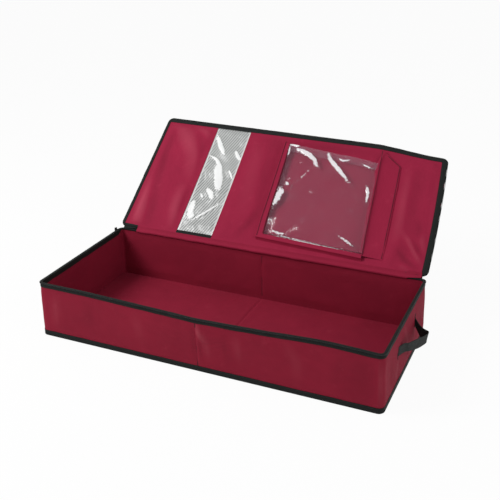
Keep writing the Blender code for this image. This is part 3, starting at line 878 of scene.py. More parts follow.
nylon_finish = grained(
    "black_nylon", 700, 3, (0.006, 0.0072, 0.007), (0.026, 0.030, 0.029), 0.34, 0.2, 0.3,
    Roughness=0.42, Specular_IOR_Level=0.3,
)
TOOTH, TOOTH_PITCH, TOOTH_OUT = (0.0012, 0.0014, 0.0020), 0.0019, 0.0019
STITCH_PITCH = 0.0036
string(
    "rim_teeth", rim_line(TOOTH_OUT, high.z - 0.0012), TOOTH_PITCH, TOOTH, nylon_finish,
    "black_nylon", "tray", "rim_zipper_coil",
)
for name, out, drop in (
    ("rim_stitches_outer", 0.0010, 0.0088),
    ("rim_stitches_top", -0.0038, 0.0002),
):
    points = rim_line(out, high.z - drop)
    size = (0.0026, 0.0005, 0.0005)
    string(name, points, STITCH_PITCH, size, thread_finish, "black_tape", "tray")

# Zipper slider and pull. Both are cast metal in black enamel, with edges that use has rubbed
# bright. The slider runs on the rim's teeth and the pull swings on the slider.
metal_finish, shader, place = new_finish(
    "black_enamel", Metallic=0.85, Roughness=0.35, Coat_Weight=0.3
)
scuff = place.cloud(900, 5, 0.7)
wire_up(
    shader,
    Base_Color=scuff.step(0.58, 0.72).blend((0.022, 0.022, 0.023), (0.17, 0.165, 0.155)),
    Roughness=0.28 + scuff * 0.25,
    Normal=scuff.bump(0.15, 0.0001),
)
for node, name, body, width in (
    ("zipper_slider", "slider_body", "slider", 0.00025),
    ("zipper_pull", "pull_tab", "pull", 0.00040),
):
    dress(softened(node, name, width, 3), metal_finish, "black_metal", body, node)

# Carry handles. One length of black webbing goes out through a slit, round and back in through
# the other. Each slit has a stitched edging of the outer fabric, coloured near black as
# painted shade of the opening.
webbing_finish, shader, place = new_finish(
    "black_webbing", Roughness=0.6, Specular_IOR_Level=0.2
)
web_along, web_across, _ = place.node(
    "ShaderNodeUVMap", {}, settings={"uv_map": "UVMap"}
).along()
ribs = (web_across * 250).sine() * (0.55 + 0.45 * (web_along * 3600).sine())
nap = place.cloud(500, 3)
share = (ribs * 0.28 + nap * 0.7).held()
wire_up(
    shader,
    Base_Color=share.blend((0.0035, 0.0044, 0.0042), (0.022, 0.026, 0.0245)),
    Roughness=0.5 + nap * 0.25,
    Normal=(ribs + nap * 0.4).bump(0.6, 0.0005),
)
# The slits' edging is near black: painted shade of the openings.
slit_painted_shade = burgundy("slit_painted_shade", (0.050, 0.0040, 0.0090), (0.024, 0.0022, 0.0050))
# The right strap's upper and lower edge, at stations from its front slit to its rear one.
STRAP_EDGES = (
    ((0.4392, -0.0780, 0.1005), (0.4392, -0.0780, 0.0775)),
    ((0.4430, -0.0710, 0.1012), (0.4430, -0.0700, 0.0790)),
    ((0.4490, -0.0525, 0.1000), (0.4490, -0.0500, 0.0770)),
    ((0.4560, -0.0380, 0.0950), (0.4560, -0.0350, 0.0725)),
    ((0.4665, -0.0023, 0.0880), (0.4670, -0.0005, 0.0625)),
    ((0.4750, 0.0290, 0.0800), (0.4765, 0.0365, 0.0570)),
    ((0.4795, 0.0530, 0.0785), (0.4745, 0.0490, 0.0560)),
    ((0.4640, 0.0640, 0.0785), (0.4650, 0.0600, 0.0490)),
    ((0.4530, 0.0710, 0.0825), (0.4560, 0.0700, 0.0525)),
    ((0.4430, 0.0762, 0.0925), (0.4430, 0.0762, 0.0710)),
    ((0.4392, 0.0780, 0.0930), (0.4392, 0.0780, 0.0720)),
)


def strap_place(share, across, side):
    """A point of the webbing: share along it from end to end, across from -1 to 1."""
    last = len(STRAP_EDGES) - 1
    spot = min(share * last, last - 0.0001)
    first = int(spot)
    t = spot - first
    edges = []
    for edge in (0, 1):
        stations = (min(max(first + d, 0), last) for d in (-1, 0, 1, 2))
        a, b, c, d = (Vector(STRAP_EDGES[station][edge]) for station in stations)
        bend = 2 * a - 5 * b + 4 * c - d + t * (3 * (b - c) + d - a)
        edges.append(b + 0.5 * t * (c - a + t * bend))
    top, foot = edges
    place = foot.lerp(top, (across + 1) / 2)
    return Vector((side * place.x, place.y, place.z))


def turn_outward(piece):
    """Point all the faces of a piece outwards."""
    bpy.ops.object.mode_set(mode="EDIT")
    bpy.ops.mesh.select_all(action="SELECT")
    bpy.ops.mesh.normals_make_consistent(inside=False)
    close(piece)


for side_name, side in (("left", -1), ("right", 1)):
    bpy.ops.object.select_all(action="DESELECT")
    bpy.ops.mesh.primitive_grid_add(x_subdivisions=72, y_subdivisions=6, size=1, calc_uvs=True)
    strap = called("handle_webbing_" + side_name)
    lay = strap.data.uv_layers[0]
    for loop in strap.data.loops:
        corner = strap.data.vertices[loop.vertex_index].co
        lay.data[loop.index].uv = ((corner.x + 0.5) * 0.24, corner.y)
    lay.name = "UVMap"
    shape(strap, lambda place, normal: strap_place(place.x + 0.5, 2 * place.y, side))
    thicken(strap, 0.0014, 0.0)
    turn_outward(strap)
    dress(strap, webbing_finish, "black_webbing", angle=50)
    name = "handle_" + side_name
    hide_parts(name + "_strap", name + "_front_end", name + "_rear_end")
    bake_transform(strap)
    for end in ("front", "rear"):
        node = f"{name}_{end}_slit"
        edging = softened(node, f"slit_edging_{side_name}_{end}", 0.00025)
        dress(edging, slit_painted_shade, "outer_fabric", "tray", node)

# Lid cover. Burgundy fabric lies over the lid's two boards, left and right of the window. The
# lid is made lying closed round its hinge, then turned open.
LID = Matrix.Translation(HINGE) @ Matrix.Rotation(LID_TURN, 4, "X")
HEEL, LENGTH = 0.00385, 0.3759
WINDOW_LEFT, WINDOW_RIGHT = -0.265, -0.156
PANELS = (("left", -WALL_X, WINDOW_LEFT), ("right", WINDOW_RIGHT, WALL_X))


def leaned(place):
    """The open lid isn't quite square: its left corner stands tall, its right corner droops."""
    far = -place.y / LENGTH
    tall = -0.008 * place.x / 0.44 * far
    droop = ease(0.20, 0.44, place.x) * far**2
    kink = 0.0022 * bell(place.x - 0.240, 0.005) * ease(0.93, 1.0, far)
    bow = 0.004 * math.sin(math.pi * min(max(far, 0), 1)) * math.cos(place.x * 3.2)
    sideways = -0.016 * droop + 0.004 * far * ease(-0.2, -0.44, place.x)
    return place + Vector((sideways, 0.016 * droop - tall - kink, bow + 0.004 * droop))


def lid_sheet(name, low, high, step, level, outer=None):
    """A flat sheet over the closed lid: its corners across the lid and out from the hinge."""
    sheet = begin(name, (low[0], -high[1], level), (high[0], -low[1], level + 0.001))
    remove(lambda face: face.normal.z < 0.9)
    if outer:
        select("VERT", lambda corner: abs(corner.co.x - outer) < 0.001)
        bpy.ops.mesh.bevel(offset=CORNER, segments=8, affect="VERTICES")
    slice_up(spread(low[0], high[0], step), spread(-high[1], -low[1], step))
    shape(sheet, lambda place, normal: Vector((place.x, place.y, level)))
    return sheet


def lid_panel(name, left, right, level):
    """A sheet over one of the lid's boards, with round corners at its outer edge."""
    outer = max(left, right, key=abs)
    return lid_sheet(name, (left, HEEL), (right, LENGTH), 0.0055, level, outer)


def border(place, left, right):
    """0 under the lid's tape and at the window's edge, and 1 well inside the panel."""
    left_edge = 0.014 if left < -0.4 else 0.003
    right_edge = 0.014 if right > 0.4 else 0.003
    return (
        ease(left_edge, left_edge + 0.026, place.x - left)
        * ease(right_edge, right_edge + 0.026, right - place.x)
        * ease(0.006, 0.026, -place.y)
        * ease(0.014, 0.040, LENGTH + place.y)
    )


def put_on_lid(piece, finish, slot, *nodes, thickness=CLOTH, offset=-1.0):
    """Give a skin made on the closed lid its thickness, open it with the lid and finish it."""
    thicken(piece, thickness, offset)
    piece.data.transform(LID)
    dress(piece, finish, slot, "lid", *nodes)


lid_cloth = burgundy("lid_cloth", *OUTER_COLOURS, turned=True)
for name, left, right in PANELS:

    def cover_puff(place, normal):
        puff = 0.0006 + puffs(place, (0.08, 0.0022, 4.9), (0.03, 0.0005, 2.4))
        return leaned(place + Vector((0, 0, border(place, left, right) * puff)))

    cover = lid_panel("lid_cover_cloth_" + name, left, right, 0.0013)
    shape(cover, cover_puff)
    put_on_lid(cover, lid_cloth, "outer_fabric", "lid_cover_" + name, offset=1.0)
    "lid_stiffener_" + name

# Lid boards. One grey board under each fabric panel keeps the open lid flat. Each is sewn in
# between the cover and the lining.
for name in ("left", "right"):
    board = copy_node("lid_board_" + name, "lid_stiffener_" + name)
    close(board)
    board.data.transform(LID.inverted())
    bpy.ops.object.mode_set(mode="EDIT")
    slice_up(spread(-0.43, 0.43, 0.03), spread(-0.37, -0.015, 0.03))
    shape(board, lambda place, normal: leaned(place))
    board.data.transform(LID)
    dress(board, board_finish, "stiffening_board", "lid", "lid_board_" + name)

# Lid lining. A brighter burgundy cloth inside the lid, puffed over the boards and drawn into
# soft wrinkles at its corners. Each fold is a line of points across the lid and out from the
# hinge, then its width and strength. The folds lift the cloth, and their strengths are also
# painted on it: painted highlight along the pale folds and painted shade along the dark ones.
lining_cloth = burgundy(
    "lining_cloth", (0.360, 0.0165, 0.0560), (0.270, 0.0115, 0.0410), turned=True, painted_fold_light=True
)
LEFT_EDGE_FOLD_AND_LIGHT = (
    (-0.428, 0.345), (-0.4345, 0.2475), (-0.4313, 0.1699), (-0.430, 0.0989), (-0.4244, 0.0392)
)
LEFT_CORNER_FOLD_AND_LIGHT = (
    (-0.413, 0.370), (-0.3709, 0.332), (-0.3386, 0.2986), (-0.3114, 0.2653), (-0.2894, 0.200)
)
LINING_FOLDS_AND_LIGHT = (
    (LEFT_EDGE_FOLD_AND_LIGHT, 0.028, 0.55),
    (((-0.4068, 0.330), (-0.4047, 0.2518), (-0.3946, 0.1981), (-0.3866, 0.140)), 0.026, -0.75),
    (LEFT_CORNER_FOLD_AND_LIGHT, 0.040, 0.66),
    (((-0.350, 0.372), (-0.3098, 0.350), (-0.276, 0.325)), 0.020, 0.50),
    (((-0.3124, 0.325), (-0.2821, 0.2695), (-0.2692, 0.2058)), 0.024, -0.55),
    (((-0.422, 0.150), (-0.4069, 0.0678), (-0.3932, 0.008)), 0.030, 0.90),
    (((-0.3802, 0.145), (-0.3667, 0.0656), (-0.3612, 0.0141)), 0.026, -0.60),
    (((-0.3034, 0.150), (-0.2986, 0.0766), (-0.2796, 0.0209)), 0.026, 0.60),
    (((-0.2773, 0.1491), (-0.2774, 0.0971), (-0.2759, 0.0424)), 0.012, -0.50),
    (((-0.120, 0.365), (-0.110, 0.240), (-0.095, 0.110)), 0.034, 0.20),
    (((-0.090, 0.352), (0.250, 0.368)), 0.060, -0.75),
    (((0.356, 0.095), (0.372, 0.015)), 0.040, -0.40),
    (((-0.075, 0.350), (-0.070, 0.240), (-0.062, 0.150)), 0.018, -0.35),
    (((-0.048, 0.125), (-0.060, 0.075), (-0.082, 0.030)), 0.018, -0.60),
    (((0.338, 0.300), (0.341, 0.184), (0.345, 0.060)), 0.024, 0.40),
    (((0.372, 0.330), (0.368, 0.220), (0.372, 0.120)), 0.030, -0.40),
    (((0.4272, 0.3256), (0.425, 0.2469), (0.4248, 0.120)), 0.014, 0.50),
    (((0.400, 0.362), (0.4213, 0.3447), (0.4355, 0.3398)), 0.013, -0.90),
    (((0.408, 0.372), (0.4314, 0.356)), 0.013, 0.60),
    (((0.438, 0.015), (0.3937, 0.0695), (0.3585, 0.1149)), 0.013, 0.80),
    (((0.438, 0.026), (0.4052, 0.0674), (0.3889, 0.0944)), 0.012, -0.90),
    (((0.438, 0.040), (0.418, 0.080), (0.406, 0.115)), 0.012, 0.70),
    (((0.425, 0.008), (0.3746, 0.040), (0.356, 0.062)), 0.012, -0.80),
    (((0.399, 0.005), (0.3647, 0.020)), 0.012, 0.60),
    (((0.392, 0.160), (0.400, 0.110)), 0.012, -0.50),
    (((0.242, 0.374), (0.246, 0.352)), 0.008, -0.80),
)


def clear_of_pocket(place):
    """0 under the pocket, whose edges are sewn flat to the lining, and 1 clear of it."""
    across = ease(-0.072, -0.048, place.x) * ease(0.350, 0.326, place.x)
    return 1 - 0.9 * across * ease(0.0, 0.014, -place.y) * ease(0.378, 0.360, -place.y)


for name, left, right in PANELS:

    # The painted highlight and painted shade of the folds, kept on the lining.
    def lining_painted_light(place):
        return tone(place, LINING_FOLDS_AND_LIGHT) * min(1, 0.15 + border(place, left, right))

    def lining_puff(place, normal):
        inside = border(place, left, right) * clear_of_pocket(place)
        puff = 0.0012 + puffs(place, (0.11, 0.0060, 1.9), (0.04, 0.0014, 3.4))
        puff = max(0.0004, puff + 0.0042 * tone(place, LINING_FOLDS_AND_LIGHT))
        return leaned(place - Vector((0, 0, inside * puff)))

    lining = lid_panel("lid_lining_cloth_" + name, left, right, -0.0013)
    mark(lining, lining_painted_light)
    shape(lining, lining_puff)
    put_on_lid(lining, lining_cloth, "lining_fabric", "lid_lining_" + name)
    "lid_stiffener_" + name

# Window strip. Clear vinyl with fine printed ribs runs the whole depth of the lid, caught
# under the fabric at both sides. It buckles in ridges, and the white along them is painted glare.
window_finish, shader, place = new_finish(
    "window_vinyl", True, Roughness=0.3, Specular_IOR_Level=0.35, Coat_Weight=0.15,
    Coat_Roughness=0.15, IOR=1.5,
)
RIB_PITCH = 0.0074
x, y, _ = place.along()
rib = ((x * 0.919 + y * 0.394) * (2 * math.pi / RIB_PITCH) + place.cloud(14, 3) * 4.0).sine()
dark = rib.step(0.05, 0.75) * (0.75 + place.cloud(40, 2) * 0.5)
painted_light = place.painted_light()
# Painted glare: white where the ridges lie, with ragged edges, and more opaque there.
painted_glare = (painted_light + (place.cloud(230, 3, 0.6) - 0.5) * 1.3).step(0.46, 0.56)
painted_glare = painted_glare * painted_light.step(0.10, 0.25)
edge = (x + 0.2105 + (place.cloud(90, 2) - 0.5) * 0.004).size().step(0.0475, 0.0510) * 0.7
vinyl_colour = dark.blend((0.56, 0.575, 0.565), (0.19, 0.20, 0.195))
wire_up(
    shader,
    Base_Color=(painted_glare + edge).held().blend(vinyl_colour, (0.90, 0.91, 0.905)),
    Alpha=(0.78 + dark * 0.10 + painted_glare * 0.3).held(),
    Roughness=0.26 + painted_glare * 0.15,
    Normal=(place.cloud(24, 3) * 2 + rib * 0.15).bump(0.3, 0.0006),
)
WINDOW_CREASES_AND_GLARE = (
    (((-0.262, 0.340), (-0.2343, 0.3016), (-0.2125, 0.274)), 0.0125, 1.25),
    (((-0.260, 0.268), (-0.233, 0.2581), (-0.2121, 0.2364), (-0.204, 0.215)), 0.0070, 1.2),
    (((-0.227, 0.244), (-0.204, 0.1978), (-0.190, 0.154)), 0.0210, 1.35),
    (((-0.229, 0.160), (-0.2089, 0.1443), (-0.195, 0.124)), 0.0130, 1.2),
    (((-0.240, 0.142), (-0.227, 0.1254)), 0.0060, 1.1),
    (((-0.251, 0.118), (-0.249, 0.0864), (-0.245, 0.054)), 0.0165, 1.3),
    (((-0.172, 0.118), (-0.2054, 0.0809), (-0.235, 0.053)), 0.0052, 1.2),
    (((-0.2418, 0.0581), (-0.231, 0.0725)), 0.0060, 1.0),
    (((-0.184, 0.295), (-0.1716, 0.2792), (-0.157, 0.2625)), 0.0090, 1.2),
    (((-0.1824, 0.2279), (-0.1728, 0.2162), (-0.160, 0.198)), 0.0055, 1.1),
)


def window_wave(place, normal):
    """The vinyl buckles between the edges that hold it flat."""
    inside = ease(0, 0.02, place.x - WINDOW_LEFT) * ease(0, 0.02, WINDOW_RIGHT - place.x)
    inside *= ease(0.014, 0.03, -place.y) * ease(0.014, 0.03, LENGTH + place.y)
    wave = crumple(place, 0.05, 0.0035, 2.5) + crumple(place, 0.02, 0.0008, 5.5)
    wave += 0.0016 * tone(place, WINDOW_CREASES_AND_GLARE)
    return leaned(Vector((place.x, place.y, 0.00025 - inside * wave)))


caught = 0.006
window = lid_sheet(
    "window_strip", (WINDOW_LEFT - caught, 0.0143), (WINDOW_RIGHT + caught, LENGTH), 0.0024, 0
)
mark(window, lambda place: tone(place, WINDOW_CREASES_AND_GLARE))
shape(window, window_wave)
put_on_lid(window, window_finish, "clear_vinyl", "lid_window", thickness=0.0005)

# Binding and hems along the hinge. A short black tape closes the window's foot, and the lid's
# two fabrics are folded into a hem on each side of it.
lid_tape = tape("lid_tape", True)
for node, name, finish, slot, taller, lower in (
    ("window_lower_binding", "window_binding", lid_tape, "black_tape", 1.20, 0.0004),
    ("lid_hem_left", "lid_hem_fold_left", lid_cloth, "lining_fabric", 0.72, 0.0005),
    ("lid_hem_right", "lid_hem_fold_right", lid_cloth, "lining_fabric", 0.72, 0.0005),
):
    piece = softened(node, name, 0.00025)
    piece.data.transform(LID.inverted())
    shape(piece, lambda place, normal: Vector((place.x, place.y * taller + lower, place.z)))
    piece.data.transform(LID)
    dress(piece, finish, slot, "lid", node)


# Lid tape and the upper half of the zipper. The black tape folds over three sides of the lid
# and turns its rear corners, with nylon teeth along its edge and stitches on both faces.
def lid_ring(out, height):
    """Points round the lid's edge, from the hinge's left end round the front to its right end."""
    first, last = (Vector((x, out - HEEL, height)) for x in (-WRAP, WRAP))
    return paced([first] + corners(out, height, -LENGTH, -HEEL) + [last], 0.012)


def fold_round(name, lines):
    """A skin through rows of points, one row for each line across it."""
    bpy.ops.object.select_all(action="DESELECT")
    across, up = len(lines[0]) - 1, len(lines) - 1
    bpy.ops.mesh.primitive_grid_add(
        x_subdivisions=across, y_subdivisions=up, size=1, calc_uvs=False
    )
    piece = called(name)
    for corner in piece.data.vertices:
        row, number = round((corner.co.y + 0.5) * up), round((corner.co.x + 0.5) * across)
        corner.co = lines[row][number]
    return piece


def tape_place(point, out):
    """The tape's inner edge lies nearer the lid's edge on its left side and along the hinge."""
    inward = -min(out, 0)
    taper = 0.54 + 0.10 * ease(0.418, 0.388, abs(point.x)) + 0.20 * ease(0.0, 0.3, point.x)
    point.y += taper * inward * ease(-0.034, -0.018, point.y)
    point.x -= 0.40 * inward * ease(-0.400, -0.424, point.x)
    return point


half_fold = (
    (-0.0138, 0.0027), (-0.008, 0.0030), (-0.004, 0.0028), (-0.0006, 0.0027), (0.0004, 0.0022),
    (0.0013, 0.0012),
)
tape_lines = []
for out, height in [(out, -height) for out, height in half_fold] + list(reversed(half_fold)):
    line = []
    for number, point in enumerate(lid_ring(out, height)):
        away = Vector((point.x, point.y + LENGTH / 2, 0)).normalized()
        point = tape_place(point, out)
        bump = 0.0005 * math.sin(number * 1.35) + crumple(point, 0.022, 0.0016, 6.6)
        loose = abs(puffs(point, (0.03, 0.0010, 6.6)) + 0.00025 * math.sin(number * 2.1))
        lift = Vector((0, 0, math.copysign(loose, height)))
        line.append(leaned(point + away * bump * ease(-0.010, 0.0, out) + lift))
    tape_lines.append(line)
lid_border = fold_round("lid_border_tape", tape_lines)
turn_outward(lid_border)
put_on_lid(lid_border, lid_tape, "black_tape", "lid_zipper_tape")
string(
    "lid_teeth", [leaned(point) for point in lid_ring(TOOTH_OUT, 0)], TOOTH_PITCH, TOOTH,
    nylon_finish, "black_nylon", "lid", "lid_zipper_coil",
)
for name, height in (("lid_stitches_inner", -0.0032), ("lid_stitches_outer", 0.0034)):
    points = [leaned(tape_place(point, -0.0100)) for point in lid_ring(-0.0100, height)]
    size = (0.0026, 0.0005, 0.0004)
    string(name, points, STITCH_PITCH, size, thread_finish, "black_tape", "lid")

# Hinge cloth. A burgundy strip is sewn inside the rear rim, rolls over its top and runs up onto
# the lid's lining. A second one does the same behind.
hinge_cloth = burgundy("hinge_cloth", (0.340, 0.0150, 0.0500), (0.245, 0.0100, 0.0360))
INNER_ROLL = (
    (0.1808, 0.1390), (0.1802, 0.1408), (0.1806, 0.1430), (0.1828, 0.1447), (0.1857, 0.1456),
    (0.1879, 0.1473), (0.1895, 0.1499), (0.1915, 0.1527),
)
OUTER_ROLL = (
    (0.1891, 0.1230), (0.1893, 0.1310), (0.1892, 0.1390), (0.1897, 0.1440), (0.1915, 0.1452),
    (0.1943, 0.1468), (0.1975, 0.1492), (0.2015, 0.1523),
)
INNER_END = (
    (0.1848, 0.1439), (0.1866, 0.1449), (0.1882, 0.1466), (0.1896, 0.1486), (0.1910, 0.1507)
)
OUTER_END = (
    (0.1896, 0.1385), (0.1898, 0.1425), (0.1915, 0.1452), (0.1945, 0.1474), (0.1998, 0.1513)
)
CLOTH_END, TAPE_END = 0.386, 0.384


def hinge_strip(name, left, right, profile, finish, slot, *nodes):
    """A strip through its profile's points. The one that stands for a node also runs on past
    its right end, where it is folded up into the corner."""
    lines = []
    cuts = max(6, round((right - left) / 0.006))
    for row, (y, z) in enumerate(profile):
        far = right
        if nodes:
            far += 0.006 + 0.036 * ease(0.2, 0.6, row / (len(profile) - 1))
        line = []
        for number in range(cuts + 1):
            x = left + (far - left) * number / cuts
            sag = crumple(Vector((x, 0, 0)), 0.03, 0.0010, 3.3) * ease(0.148, 0.140, z)
            inward = -1 if "inner" in name else 1
            point = Vector((x, y + inward * abs(sag), z + sag))
            if nodes and row == len(profile) - 1:
                point += ease(CLOTH_END, 0.400, x) * Vector((0, 0.0014, 0.0038))
            if "inner_" in name:
                tucked = 0.85 * ease(0.415, TAPE_END, abs(x))
                point = point.lerp(Vector((x, *profile[2])), tucked)
            line.append(point)
        lines.append(line)
    strip = fold_round(name, lines)
    thicken(strip, offset=0.0)
    dress(strip, finish, slot, None, *nodes)
    return strip


def bend_with_lid(strip):
    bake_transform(strip)


for name, profile, width, carrier, nodes in (
    ("hinge_cloth_inner", INNER_ROLL, 0.020, "wall_lining", ("hinge_strip",)),
    ("hinge_cloth_outer", OUTER_ROLL, 0.036, "outer_fabric", ()),
):
    strip = hinge_strip(name, -CLOTH_END, CLOTH_END, profile, hinge_cloth, "lining_fabric", *nodes)
    bend_with_lid(strip)
for name, profile, far in (("inner", INNER_END, 0.430), ("outer", OUTER_END, 0.426)):
    for side, left, right in (("left", -far, -TAPE_END), ("right", TAPE_END, far)):
        name_here = f"zipper_end_{name}_{side}"
        bend_with_lid(hinge_strip(name_here, left, right, profile, black_tape, "black_tape"))


# Pocket. A bellows pocket of clear vinyl in a burgundy frame is sewn to the lining: a pleat
# on its left, a wide slanting gusset on its right, and a short one along its foot.
LEFT, RIGHT, FOOT, TOP = -0.040, 0.260, 0.026, 0.338
BACK = -0.0159


def flatter(away):
    """The pocket's height above the lining, as a share, by how far it is from the hinge."""
    return 1 - 0.36 * ease(0.095, 0.028, away)


def on_pocket(place):
    """Where a point of the pocket lies: its mouth slopes to the right, its foot is flatter."""
    across = (place.x + 0.024) / 0.284
    up = (-place.y - 0.036) / 0.302
    x = (1 - up) * (-0.0123 + 0.2812 * across) + up * (-0.0207 + 0.2696 * across)
    away = (1 - across) * (0.0400 + 0.2918 * up) + across * (0.0275 + 0.2806 * up)
    return Vector((x, -away, place.z * flatter(away)))


# The pocket's vinyl. The white marks along its creases are painted glare, and its faint mauve film
# is partly the vinyl's own haze and partly a painted reflection of the white room.
pocket_finish, shader, place = new_finish(
    "pocket_vinyl", True, Roughness=0.10, Coat_Weight=0.6, Coat_Roughness=0.05, IOR=1.52
)
haze = place.cloud(26, 4, 0.6)
painted_light = place.painted_light()
painted_glare = (painted_light + (place.cloud(210, 4, 0.65) - 0.5) * 1.6).step(0.47, 0.58)
painted_glare = painted_glare * painted_light.step(0.10, 0.25)
milky_and_glare = (painted_light * 0.5 + haze.step(0.55, 0.75) * 0.35).held()
wire_up(
    shader,
    Base_Color=painted_glare.blend(haze.blend((0.30, 0.135, 0.20), (0.42, 0.25, 0.32)), (0.92, 0.88, 0.91)),
    Alpha=(0.10 + milky_and_glare * 0.14 + painted_glare * 0.72).held(),
    Roughness=0.07 + haze * 0.10,
    Normal=(haze * 2).bump(0.4, 0.001),
)
# Each line is a ridge in the vinyl and a painted glare mark along it, then its width and strength.
MOUTH_CREASE_AND_GLARE = (
    (0.002, 0.320), (0.0272, 0.3118), (0.0491, 0.304), (0.0695, 0.2873), (0.086, 0.264)
)
MIDDLE_CREASE_AND_GLARE = (
    (0.098, 0.325), (0.110, 0.3001), (0.138, 0.274), (0.1602, 0.2539), (0.1861, 0.229)
)
FOOT_CREASE_AND_GLARE = (
    (0.005, 0.044), (0.060, 0.0415), (0.1129, 0.038), (0.180, 0.035), (0.255, 0.033)
)
VINYL_CREASES_AND_GLARE = (
    (MOUTH_CREASE_AND_GLARE, 0.0115, 1.2),
    (MIDDLE_CREASE_AND_GLARE, 0.0110, 1.1),
    (((-0.0185, 0.329), (-0.0164, 0.312), (-0.013, 0.290)), 0.0065, 1.2),
    (((-0.019, 0.329), (0.014, 0.328)), 0.0050, 1.2),
    (((0.130, 0.306), (0.150, 0.2985), (0.170, 0.3043)), 0.0060, 0.9),
    (((0.200, 0.298), (0.238, 0.286)), 0.0060, 0.8),
    (((-0.010, 0.192), (0.000, 0.178), (-0.003, 0.150), (-0.009, 0.120)), 0.0170, 1.0),
    (((0.233, 0.235), (0.242, 0.210), (0.244, 0.175)), 0.0070, 1.1),
    (((0.008, 0.2072), (0.015, 0.199)), 0.0080, 1.3),
    (((0.072, 0.278), (0.052, 0.235), (0.027, 0.196)), 0.0080, 0.48),
    (FOOT_CREASE_AND_GLARE, 0.0048, 0.95),
    (((0.006, 0.056), (0.035, 0.050), (0.070, 0.054)), 0.0070, 0.75),
    (((0.185, 0.076), (0.225, 0.056), (0.252, 0.044)), 0.0070, 0.70),
)


def billow(place, normal):
    """The vinyl swells over the pocket's middle and buckles under its hem."""
    inside = ease(-0.02, 0.02, place.x) * ease(0.262, 0.235, place.x) * ease(0.03, 0.06, -place.y)
    calmer = 1 - 0.5 * ease(-0.27, -0.32, place.y)
    wave = crumple(place, 0.07, 0.0045, 7.1) + crumple(place, 0.028, 0.0012, 4.1) * calmer
    belly = 0.0025 * math.sin(math.pi * min(max((place.x + 0.02) / 0.28, 0), 1))
    ridge = 0.0012 * max(0, tone(place, VINYL_CREASES_AND_GLARE))
    return leaned(place - Vector((0, 0, inside * (wave + belly) + ridge)))


def vinyl_sheet(name, low, high, level, *nodes):
    sheet = lid_sheet(name, low, high, 0.0027, level)
    shape(sheet, lambda place, normal: on_pocket(place))
    mark(sheet, lambda place: tone(place, VINYL_CREASES_AND_GLARE))
    shape(sheet, billow)
    put_on_lid(sheet, pocket_finish, "clear_vinyl", *nodes, thickness=0.0005)
    return sheet


vinyl = vinyl_sheet(
    "pocket_vinyl", (LEFT + 0.016, FOOT + 0.006), (RIGHT, TOP), BACK, "pocket_window"
)
vinyl_hem = vinyl_sheet(
    "pocket_vinyl_hem", (LEFT + 0.016, TOP - 0.025), (RIGHT, TOP + 0.0004), BACK - 0.0007
)

# The pocket's burgundy border. It is folded over the vinyl's left side and its foot, and sewn
# down through both.
BORDER_RIGHT, BORDER_TOP = LEFT + 0.020, FOOT + 0.012
pocket_border = lid_sheet("pocket_border", (LEFT, FOOT), (RIGHT, TOP), 0.005, BACK - 0.0013)
bpy.ops.object.mode_set(mode="EDIT")
slice_up((BORDER_RIGHT,), (-BORDER_TOP,))
remove(lambda face: middle(face).x > BORDER_RIGHT and middle(face).y < -BORDER_TOP)


def border_wave(place, normal):
    return leaned(on_pocket(place - Vector((0, 0, puffs(place, (0.03, 0.0008, 2.7))))))


shape(pocket_border, border_wave)
put_on_lid(pocket_border, lining_cloth, "lining_fabric", "pocket_frame")

# The pocket's folded sides: a pleat at the left, gussets at the right and along the foot.
# Each row gives a fold's two ends on the lid, at its mouth and at its foot, and its height.
SEAT = -0.0025
PLEAT = (
    ((-0.0430, 0.3400), (-0.0370, 0.0330), SEAT),
    ((-0.0370, 0.3400), (-0.0310, 0.0330), -0.0030),
    ((-0.0300, 0.3385), (-0.0230, 0.0335), -0.0075),
    ((-0.0275, 0.3380), (-0.0205, 0.0335), -0.0098),
    ((-0.0295, 0.3380), (-0.0225, 0.0335), -0.0122),
    ((-0.0345, 0.3380), (-0.0270, 0.0320), -0.0162),
)
GUSSET = (
    ((0.2420, 0.3080), (0.2610, 0.0270), -0.0152),
    ((0.2460, 0.3300), (0.2660, 0.0265), -0.0160),
    ((0.2530, 0.3540), (0.2700, 0.0265), -0.0150),
    ((0.2560, 0.3550), (0.2725, 0.0265), -0.0128),
    ((0.2680, 0.3470), (0.2850, 0.0268), -0.0098),
    ((0.2840, 0.3370), (0.2985, 0.0270), -0.0070),
    ((0.2990, 0.3275), (0.3110, 0.0270), -0.0052),
    ((0.3095, 0.3208), (0.3195, 0.0268), -0.0050),
    ((0.3125, 0.3188), (0.3220, 0.0266), -0.0044),
    ((0.3130, 0.3185), (0.3225, 0.0266), SEAT),
)


def pocket_side(name, node, lines):
    piece = fold_round(name, lines)
    put_on_lid(piece, lining_cloth, "lining_fabric", node, offset=0.0)


for name, node, rows, seed, width, sink in (
    ("pocket_pleat", "pocket_left_pleat", PLEAT, 5.9, 0.0275, 0.0),
    ("pocket_side_gusset", "pocket_right_gusset", GUSSET, 2.6, 0.0665, 0.55),
):
    lines = []
    for number, (mouth, foot, height) in enumerate(rows):
        inner = math.sin(math.pi * number / (len(rows) - 1))
        line = []
        for count in range(76):
            share = count / 75
            x, away = Vector(foot).lerp(Vector(mouth), share)
            point = Vector((x, -away, 0))
            held = ease(0, 0.08, share) * ease(1, 0.92, share)
            loose = crumple(point, 0.045, 0.0030, seed) * inner * held
            level = height - ease(0.90, 1.0, share) * sink * (height - SEAT)
            level *= max(flatter(away), SEAT / height)
            line.append(leaned(point + Vector((0, 0, level - loose))))
        lines.append(line)
    pocket_side(name, node, lines)

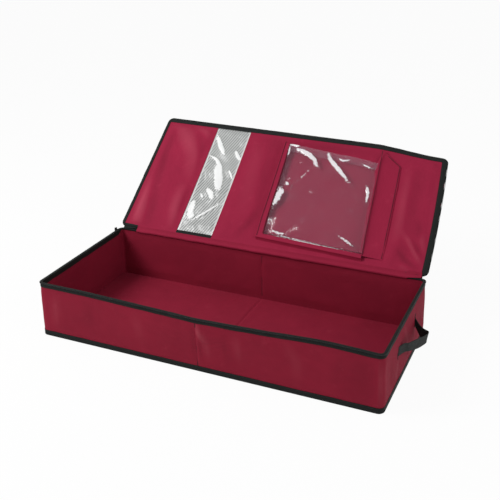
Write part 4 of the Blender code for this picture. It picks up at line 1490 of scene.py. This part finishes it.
lines = []
for away, height in (
    (FOOT + 0.004, BACK - 0.0008),
    (FOOT, BACK - 0.0009),
    (FOOT - 0.0015, -0.0105),
    (FOOT - 0.004, -0.0045),
    (FOOT - 0.0055, SEAT),
    (FOOT - 0.0105, SEAT),
):
    row = [Vector((LEFT + (RIGHT - LEFT) * number / 60, -away, height)) for number in range(61)]
    loose = [Vector((0, 0, crumple(point, 0.04, 0.0008, 8.3))) for point in row]
    lines.append([leaned(on_pocket(point - sag)) for point, sag in zip(row, loose)])
pocket_side("pocket_foot_gusset", "pocket_bottom_gusset", lines)

# The pocket's sewing. Dark red thread runs in two rows down its left border, one along its foot,
# one down the gusset's fold and one down the gusset's outer edge. Its darkness is partly the
# thread's own and partly painted shade of the sewn folds.
# Darker and wider than real thread: partly its own colour, partly painted shade of the sewn folds.
red_thread_and_seam_shade = grained(
    "red_thread_and_seam_shade", 1500, 2, (0.022, 0.003, 0.006), (0.070, 0.006, 0.015), 0.5, 0.3, None,
    Roughness=0.6, Specular_IOR_Level=0.2,
)
for name, line, height in (
    ("pocket_stitches_left", ((-0.0250, 0.0345), (-0.0318, 0.3350)), BACK - 0.0030),
    ("pocket_stitches_border", ((-0.0100, 0.0440), (-0.0180, 0.3310)), BACK - 0.0030),
    ("pocket_stitches_foot", ((-0.0100, 0.0440), (0.2640, 0.0320)), BACK - 0.0034),
    ("pocket_stitches_gusset", ((0.3192, 0.0300), (0.3098, 0.3165), (0.2575, 0.3500)), -0.0060),
    ("pocket_stitches_fold", ((0.2700, 0.0300), (0.2520, 0.3480)), BACK - 0.0004),
):
    points = []
    for first, second in zip(line, line[1:]):
        for number in range(41):
            x, away = Vector(first).lerp(Vector(second), number / 40)
            points.append(leaned(Vector((x, -away, height * flatter(away)))))
    size = (0.0032, 0.0015, 0.0007)
    string(name, points, STITCH_PITCH, size, red_thread_and_seam_shade, "lining_fabric", "lid")

# Seams of the walls. A dark row of stitches closes the fabric in the middle of the front and
# the rear, outside and in. Its darkness is partly the thread's own and partly painted shade of
# the seam's groove.
for name, y in (
    ("front_seam", -WALL_Y),
    ("rear_seam", WALL_Y),
    ("front_lining_seam", -0.1829),
    ("rear_lining_seam", 0.1829),
):
    heights = [0.014 + (TALL - 0.026) * number / 30 for number in range(31)]
    points = [settled(Vector((0, y, height))) for height in heights]
    size = (0.0032, 0.0020, 0.0010)
    string(name, points, 0.0034, size, red_thread_and_seam_shade, "outer_fabric", "tray")
